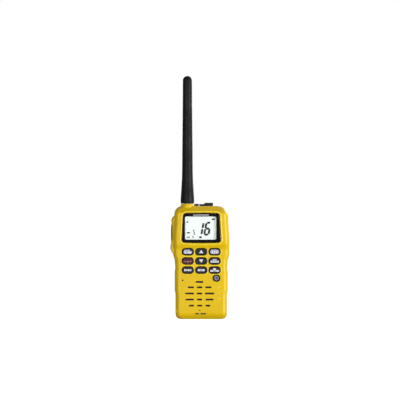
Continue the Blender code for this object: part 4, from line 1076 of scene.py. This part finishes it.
def key_marks(name, x, z):
    """The marks on a key: name and outline, and the ink and depth where they aren't the usual ones."""
    def bar(across, up, width, height, corner):
        return oblong((x + across, z + up), (width, height), corner)

    def dot(across, up, radius):
        return circle((x + across, z + up), radius, 20)

    pair, rose = (-1, 1), "print_rose"
    marks = {
        "key_up": [("up", [(x - 0.0025, z - 0.0016), (x + 0.0025, z - 0.0016), (x, z + 0.0022)])],
        "key_down": [("down", [(x - 0.0025, z + 0.0018), (x, z - 0.0020), (x + 0.0025, z + 0.0018)])],
        "key_call": [
            ("call_field", bar(0, 0, 0.0096, 0.0048, 0.0022), *FIELD),
            ("call_left", dot(-0.0033, -0.0010, 0.0011)),
            ("call_right", bar(0.0024, -0.0009, 0.0040, 0.0020, 0.0009)),
            ("call_corner", dot(0.0036, 0.0017, 0.0012), "key_black", -0.00001),
        ],
        "key_light": [
            ("light_field", bar(0, 0, 0.0100, 0.0050, 0.0024), *FIELD),
            *((f"light_ray_{i + 2}", bar(i * 0.0026, -0.0003, 0.0012, 0.0030, 0.0005)) for i in (-1, 0, 1)),
        ],
        "key_distress": [
            *((f"distress_{i + 2}", bar(i * 0.0030, -0.0005, 0.0026, 0.0013, 0.0005), rose) for i in pair),
            ("distress_dot", dot(0, -0.0008, 0.0011), rose),
        ],
        "key_weather": [
            ("weather_field", bar(0, 0.0003, 0.0050, 0.0040, 0.0008), *FIELD),
            *((f"weather_{i + 2}", dot(i * 0.0036, -0.0009, 0.0013)) for i in pair),
            ("weather_base", bar(0, -0.0013, 0.0072, 0.0011, 0.0005)),
        ],
        "key_scan": [
            (f"scan_{i + 1}", bar(-0.0033 + i * 0.0022, 0, 0.0016, 0.0024 - 0.0003 * (i % 2), 0.0005))
            for i in range(4)
        ],
        "key_memory": [
            ("memory_field", bar(0, 0, 0.0084, 0.0025, 0.0011), *FIELD),
            *((f"memory_{i + 2}", bar(i * 0.0027, 0, 0.0022, 0.0019, 0.0008)) for i in pair),
        ],
        "key_lock": [
            ("lock_field", bar(0, -0.0006, 0.0050, 0.0024, 0.0006), *FIELD),
            ("lock_dome", arch((x, z + 0.0005), 0.0040, 0.0018)),
            *((f"lock_{i + 2}", bar(i * 0.0036, -0.0010, 0.0030, 0.0020, 0.0009)) for i in pair),
        ],
    }
    return marks[name]


def keys():
    for name in KEY_NAMES:
        centre = centre_of(name)
        key_cap(name, centre, KEY_SIZE, KEY_CORNER, "key_red" if name == "key_distress" else "key_black")
        for mark, outline, *ink_and_depth in key_marks(name, *centre):
            label("mark_" + mark, name + "_cap", outline, *ink_and_depth)

    diameter = 2 * POWER_RADIUS
    key_cap("power_key", POWER_CENTRE, (diameter, diameter), POWER_RADIUS - 0.00001, "key_black")
    ring = bmesh.new()
    inner, outer = circle(POWER_CENTRE, 0.0017), circle(POWER_CENTRE, 0.0023)
    front, back = KEY_FRONT_Y, KEY_FRONT_Y + 0.0002
    stepped(ring, "Y", ((front, outer), (front, inner), (back, inner), (back, outer)), closed=True)
    piece("mark_power_ring", ring, "print_lilac", "power_cap")
    label("mark_power_dot", "power_cap", circle(POWER_CENTRE, 0.0009, 24), "print_violet")


# ---------------------------------------------------------------- talk button
# The face of the moulding round the talk button: height, distance out from the middle plane.
MOULDING_FACE = (
    (0.0640, 0.0300), (0.0700, 0.0312), (0.0750, 0.0330), (0.0790, 0.0349), (0.0815, 0.0356),
    (0.0840, 0.0356), (0.0870, 0.0349), (0.0900, 0.0338), (0.0930, 0.0334), (0.1050, 0.0333),
    (0.1085, 0.0336), (0.1110, 0.0342), (0.1138, 0.0345), (0.1160, 0.0341), (0.1196, 0.0326),
)


def talk_button():
    def outline(grow):
        size = (PTT_SIZE[0] + 2 * grow, PTT_SIZE[1] + 2 * grow)
        return side_points(oblong(PTT_CENTRE, size, max(PTT_CORNER + grow, 0.0001), 10))

    def pad_outline(half_depth, low, high, radius):
        centre, size = (PTT_CENTRE[0], (low + high) / 2), (2 * half_depth, high - low)
        return side_points(oblong(centre, size, radius, 10))

    def pad_face(y, z):
        """The pad's outer face, which is fullest in the middle of its length."""
        lower = 0.0015 * abs((z - PTT_CENTRE[1]) / 0.0148) ** 4 + 0.0002 * ((y - PTT_CENTRE[0]) / 0.0065) ** 2
        return PTT_OUTER_X + 0.0002 + lower

    def ring(points, share, sunk=0.0):
        """A ring part of the way from the side wall out to the moulding's face."""
        root = -0.0285
        return [
            Vector((root + share * (sunk - along_profile(MOULDING_FACE, z) - root), y, z)) for y, z in points
        ]

    # The slope: half depth, lowest and highest point, corner, and how far out it is.
    slope = (
        (0.0098, 0.0640, 0.1194, 0.0045, 0.30), (0.0096, 0.0680, 0.1192, 0.0045, 0.55),
        (0.0093, 0.0720, 0.1188, 0.0045, 0.76), (0.0090, 0.0752, 0.1180, 0.0044, 0.89),
        (0.0087, 0.0778, 0.1170, 0.0043, 0.96), (0.0084, 0.0796, 0.1160, 0.0042, 0.99),
        (0.0080, 0.0812, 0.1150, 0.0042, 1.0),
    )
    # The edge round the pad: how far it is from the pad, how far out, and how far sunk.
    edge = (
        (0.00080, 1.0, 0.0), (0.00050, 1.0, 0.0001), (0.00032, 1.0, 0.0003),
        (GAP, 1.0, 0.0007), (GAP, 0.10, 0.0),
    )
    surround = bmesh.new()
    rings = [ring(pad_outline(*sizes), share) for *sizes, share in slope]
    rings += [ring(outline(grow), share, sunk) for grow, share, sunk in edge]
    loft(surround, rings, closed=True)
    piece("talk_surround", surround, "yellow_plastic", "radio", smooth_deg=50.0)

    button = bmesh.new()
    flange = -0.0289

    def domed(points, share):
        """A ring part of the way up to the pad's face."""
        return [Vector((flange + share * (pad_face(y, z) - flange), y, z)) for y, z in points]

    rings = [[Vector((x, y, z)) for y, z in outline(0.0010)] for x in (flange + 0.0010, flange)]
    rings.append(domed(outline(-0.0001), 0.0))
    roll = 0.0014
    for angle in range(0, 91, 10):
        turn = math.radians(angle)
        rings.append(domed(outline(-0.0001 - roll * (1 - math.cos(turn))), 0.86 + 0.14 * math.sin(turn)))
    for inset in (0.0022, 0.0032, 0.0044, 0.0055, 0.0062):
        rings.append(domed(outline(-inset), 1.0))
    loft(button, rings)
    piece("talk_pad", button, "rubber", "ptt_pad", ("ptt_button",), smooth_deg=40.0)
    for number in range(5):
        shape = bmesh.new()
        z = PTT_CENTRE[1] + (number - 2) * 0.0042

        def on_pad(share):
            y = PTT_CENTRE[0] + (share - 0.5) * 0.0064
            return Vector((pad_face(y, z) + 0.00004, y, z))

        rib(shape, on_pad, 0.00050, Vector((0.4, 0.0, 0.0)), Vector((0.0, 0.0, 1.0)))
        piece(f"talk_rib_{number + 1}", shape, "rubber", "ptt_pad", smooth_deg=60.0)


# ---------------------------------------------------------------- antenna
WHIP_OUTLINE = (
    (ANTENNA_LOW.z, 0.00780), (0.1338, 0.00795), (0.1385, 0.0079), (0.1460, 0.00735), (0.1550, 0.0068),
    (0.1645, 0.0063), (0.1740, 0.00615), (0.1920, 0.00605), (0.2200, 0.00575), (0.2480, 0.0055),
    (0.2755, 0.00535),
)


def whip():
    top = ANTENNA_HIGH.z
    shoulder = WHIP_OUTLINE[-1][0]
    profile = [(0, 0.2710), (0.0019, 0.2710), (0.0019, 0.1435), (0.00575, 0.1435), (0.00575, ANTENNA_LOW.z)]
    count = 60
    for i in range(count + 1):
        z = ANTENNA_LOW.z + (shoulder - ANTENNA_LOW.z) * i / count
        near = [z - 0.003, z, z + 0.003]
        radius = sum(along_profile(WHIP_OUTLINE, min(max(n, ANTENNA_LOW.z), shoulder)) for n in near) / 3
        if i == 0:
            radius -= 0.0003
        profile.append((radius, z))
    for angle in range(12, 90, 12):
        turn = math.radians(angle)
        profile.append((WHIP_OUTLINE[-1][1] * math.cos(turn), shoulder + (top - shoulder) * math.sin(turn)))
    profile.append((0, top))
    shape = bmesh.new()
    turned(shape, "Z", ANTENNA_AXIS, profile, steps=56)
    piece("antenna_whip", shape, "whip", "antenna", ("antenna_sheath",), smooth_deg=50.0)


# ---------------------------------------------------------------- battery pack
def pack_shell():
    def pressed(y, z):
        """Thumb grooves low on each side of the pack."""
        return 0.0005 * bell(z, 0.0180, 0.0042) * plateau(y, 0.0110, 0.0150, 0.0015)

    shape = bmesh.new()
    side_inset, back_inset = 0.0004, 0.0002
    low, high = PACK_LOW.z, PACK_HIGH.z
    foot_y, foot_top = TRAY_Y + 0.0001, 0.0146
    rings = []
    for z in sorted(heights(low, high, 0.0012) + [foot_top, foot_top + 0.0001]):
        edge = 0.0006 * (max(0.0, 1 - (high - z) / 0.0010) ** 2)
        rim_y = foot_y if z <= foot_top else PACK_LOW.y
        face_y, half = back_y(z) - back_inset - edge, half_width(z) - side_inset - edge
        rings.append(shell_ring(z, rim_y, face_y, half, BACK_CORNER, 20, 12, pressed))
    loft(shape, rings)
    shell = piece("pack_shell", shape, "black_plastic", "battery_pack", ("battery_case",))
    hollow = bmesh.new()
    box(hollow, (-0.0255, 0.0080, 0.0166), (0.0255, 0.0163, 0.0710))
    carve(shell, hollow)
    pocket = bmesh.new()
    box(pocket, (-0.0095, 0.0130, 0.0030), (0.0095, 0.0250, 0.0150))
    for side in (-1, 1):
        slot = t_outline(side * RAIL_X, 0.0007, 0.0011, 0.0080, 0.0097, 0.0116)
        prism(pocket, "Z", slot, 0.0120, 0.0800)
    carve(shell, pocket)
    panel = bmesh.new()
    surface, outside = BACK_Y - back_inset, BACK_Y + 0.002
    prism(panel, "Y", oblong((0.0, 0.0300), (0.0360, 0.0200), 0.0020), surface - 0.0003, outside)
    for side in (-1, 1):
        for step in range(3):
            centre = (side * (0.0155 + 0.0030 * step), 0.0570)
            groove = oblong(centre, (0.0012, 0.0240), 0.00055, 4)
            prism(panel, "Y", groove, surface - 0.0004, outside)
    carve(shell, panel)


def cover_lip():
    """A thin lip under the jack cover's front and free end that closes the space above the body."""
    low, high, _ = size_of("jack_cover")
    left, right = low.x + 0.0006, high.x - 0.0004
    front, back = low.y + 0.0003, high.y - 0.0006
    thick = 0.0008
    outline = (
        (left, front), (right, front), (right, back), (right - thick, back), (right - thick, front + thick),
        (left, front + thick),
    )
    shape = bmesh.new()
    prism(shape, "Z", outline, BODY_TOP + 0.00006, COVER_UNDERSIDE_Z + 0.0001)
    piece("cover_lip", shape, "rubber", "jack_cover_flap")


def latch_coil():
    """The latch's spring, wound from round wire."""
    low, high, middle = size_of("latch_spring")
    wire, turns, steps = 0.00016, 6, 20
    radius = (high.x - low.x) / 2 - wire
    rings = []
    for i in range(turns * steps + 1):
        share = i / (turns * steps)
        angle = 2 * math.pi * turns * share
        out = Vector((math.cos(angle), math.sin(angle), 0.0))
        height = low.z + wire + (high.z - low.z - 2 * wire) * share
        centre = Vector((middle.x, middle.y, height)) + radius * out
        section = (math.pi * k / 4 for k in range(8))
        rings.append([
            centre + wire * (out * math.cos(a) + Vector((0.0, 0.0, math.sin(a)))) for a in section
        ])
    shape = bmesh.new()
    loft(shape, rings)
    steel = "spring_steel"
    coil = piece("latch_coil", shape, steel, "battery_pack", ("latch_spring",), smooth_deg=60.0)
    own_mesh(coil)


# ---------------------------------------------------------------- carried-over CAD nodes
def finish_nodes():
    """Give every CAD node that stays its material, and soften the edges of some of them."""
    slots = {entry["node"]: entry["material_slot"] for entry in frame["record"]["subparts"]}
    softened_nodes = {
        "clip_arm": 0.00045, "clip_base": 0.00035, "jack_cover": 0.00045, "jack_cover_anchor": 0.00035,
        "battery_latch": 0.0003, "battery_lid": 0.0003, "rf_shield": 0.0003,
    }
    for name, obj in frame["nodes"].items():
        obj.data.materials.clear()
        obj.data.materials.append(MATERIALS[slots[name]])
        weld = obj.modifiers.new("weld", "WELD")
        weld.merge_threshold = 0.000002
        if name in softened_nodes:
            rounded(obj, softened_nodes[name])
        even_shading(obj)


# ---------------------------------------------------------------- studio
# The floor lies just below the battery pack's reach, so that the pack stays in sight.
FLOOR_Z = -TRAVEL["battery_slide"] - 0.0010
# Brightness of the surroundings, as lit things and reflections see them.
ROOM_LIGHT = 0.22
# Name, place, side and power of each soft box; all aim at the radio's middle.
STUDIO_LIGHTS = (
    ("key_light", (1.35, -1.00, 0.16), 0.50, 22.0),
    ("front_fill", (-0.50, -1.60, 0.08), 0.60, 11.5),
    ("top_light", (0.30, 0.25, 1.50), 0.50, 1.2),
    ("back_light", (0.80, 1.20, 0.60), 0.70, 16.0),
)


def studio():
    floor = bmesh.new()
    reach = 9.0
    floor.faces.new([floor.verts.new((x, y, FLOOR_Z)) for x, y in circle((0.0, 0.0), reach, 36)])
    mesh = bpy.data.meshes.new("studio_floor")
    floor.to_mesh(mesh)
    floor.free()
    obj = bpy.data.objects.new("studio_floor", mesh)
    bpy.context.scene.collection.objects.link(obj)
    m = Nodes("studio_paper", (0.90, 0.90, 0.90), 0.9)
    m.patches(m.noise(2.0, 2.0), 0.3, 0.7, (0.88, 0.88, 0.88), 0.5)
    m.set("Specular IOR Level", 0.0)
    m.set("Emission Color", (1.0, 1.0, 1.0, 1.0))
    m.set("Emission Strength", 0.86)
    mesh.materials.append(m.material)
    obj.visible_diffuse = False
    obj.visible_glossy = False

    world = bpy.data.worlds.new("studio")
    world.use_nodes = True
    tree = world.node_tree
    around = tree.nodes["Background"]
    around.inputs["Color"].default_value = (1.0, 1.0, 1.0, 1.0)
    around.inputs["Strength"].default_value = ROOM_LIGHT
    backdrop = tree.nodes.new("ShaderNodeBackground")
    backdrop.inputs["Color"].default_value = (1.0, 1.0, 1.0, 1.0)
    backdrop.inputs["Strength"].default_value = 1.0
    seen = tree.nodes.new("ShaderNodeLightPath")
    mix = tree.nodes.new("ShaderNodeMixShader")
    tree.links.new(seen.outputs["Is Camera Ray"], mix.inputs["Fac"])
    tree.links.new(around.outputs["Background"], mix.inputs[1])
    tree.links.new(backdrop.outputs["Background"], mix.inputs[2])
    tree.links.new(mix.outputs["Shader"], tree.nodes["World Output"].inputs["Surface"])
    bpy.context.scene.world = world
    bpy.context.scene.view_settings.view_transform = "Standard"

    middle = Vector((0.0, 0.0, 0.10))
    for name, place, size, power in STUDIO_LIGHTS:
        light = bpy.data.lights.new(name, "AREA")
        light.size = size
        light.energy = power
        lamp = bpy.data.objects.new(name, light)
        lamp.location = place
        lamp.rotation_euler = (middle - Vector(place)).to_track_quat("-Z", "Y").to_euler()
        bpy.context.scene.collection.objects.link(lamp)

    camera = bpy.data.cameras.new("camera")
    camera.sensor_width = 36.0
    distance, field = 3.0, 0.460
    camera.lens = camera.sensor_width * distance / field
    camera.clip_end = 40.0
    holder = bpy.data.objects.new("camera", camera)
    holder.location = (-0.0014, FACE_Y - distance, 0.1374)
    holder.rotation_euler = (math.radians(90.0), 0.0, 0.0)
    bpy.context.scene.collection.objects.link(holder)
    bpy.context.scene.camera = holder


studio()
finish_nodes()
front_shell()
microphone_felt()
front_trim()
rear_shell()
seal_band()
display()
display_ink()
keys()
talk_button()
whip()
pack_shell()
cover_lip()
latch_coil()
for made in PIECES:
    even_shading(made)
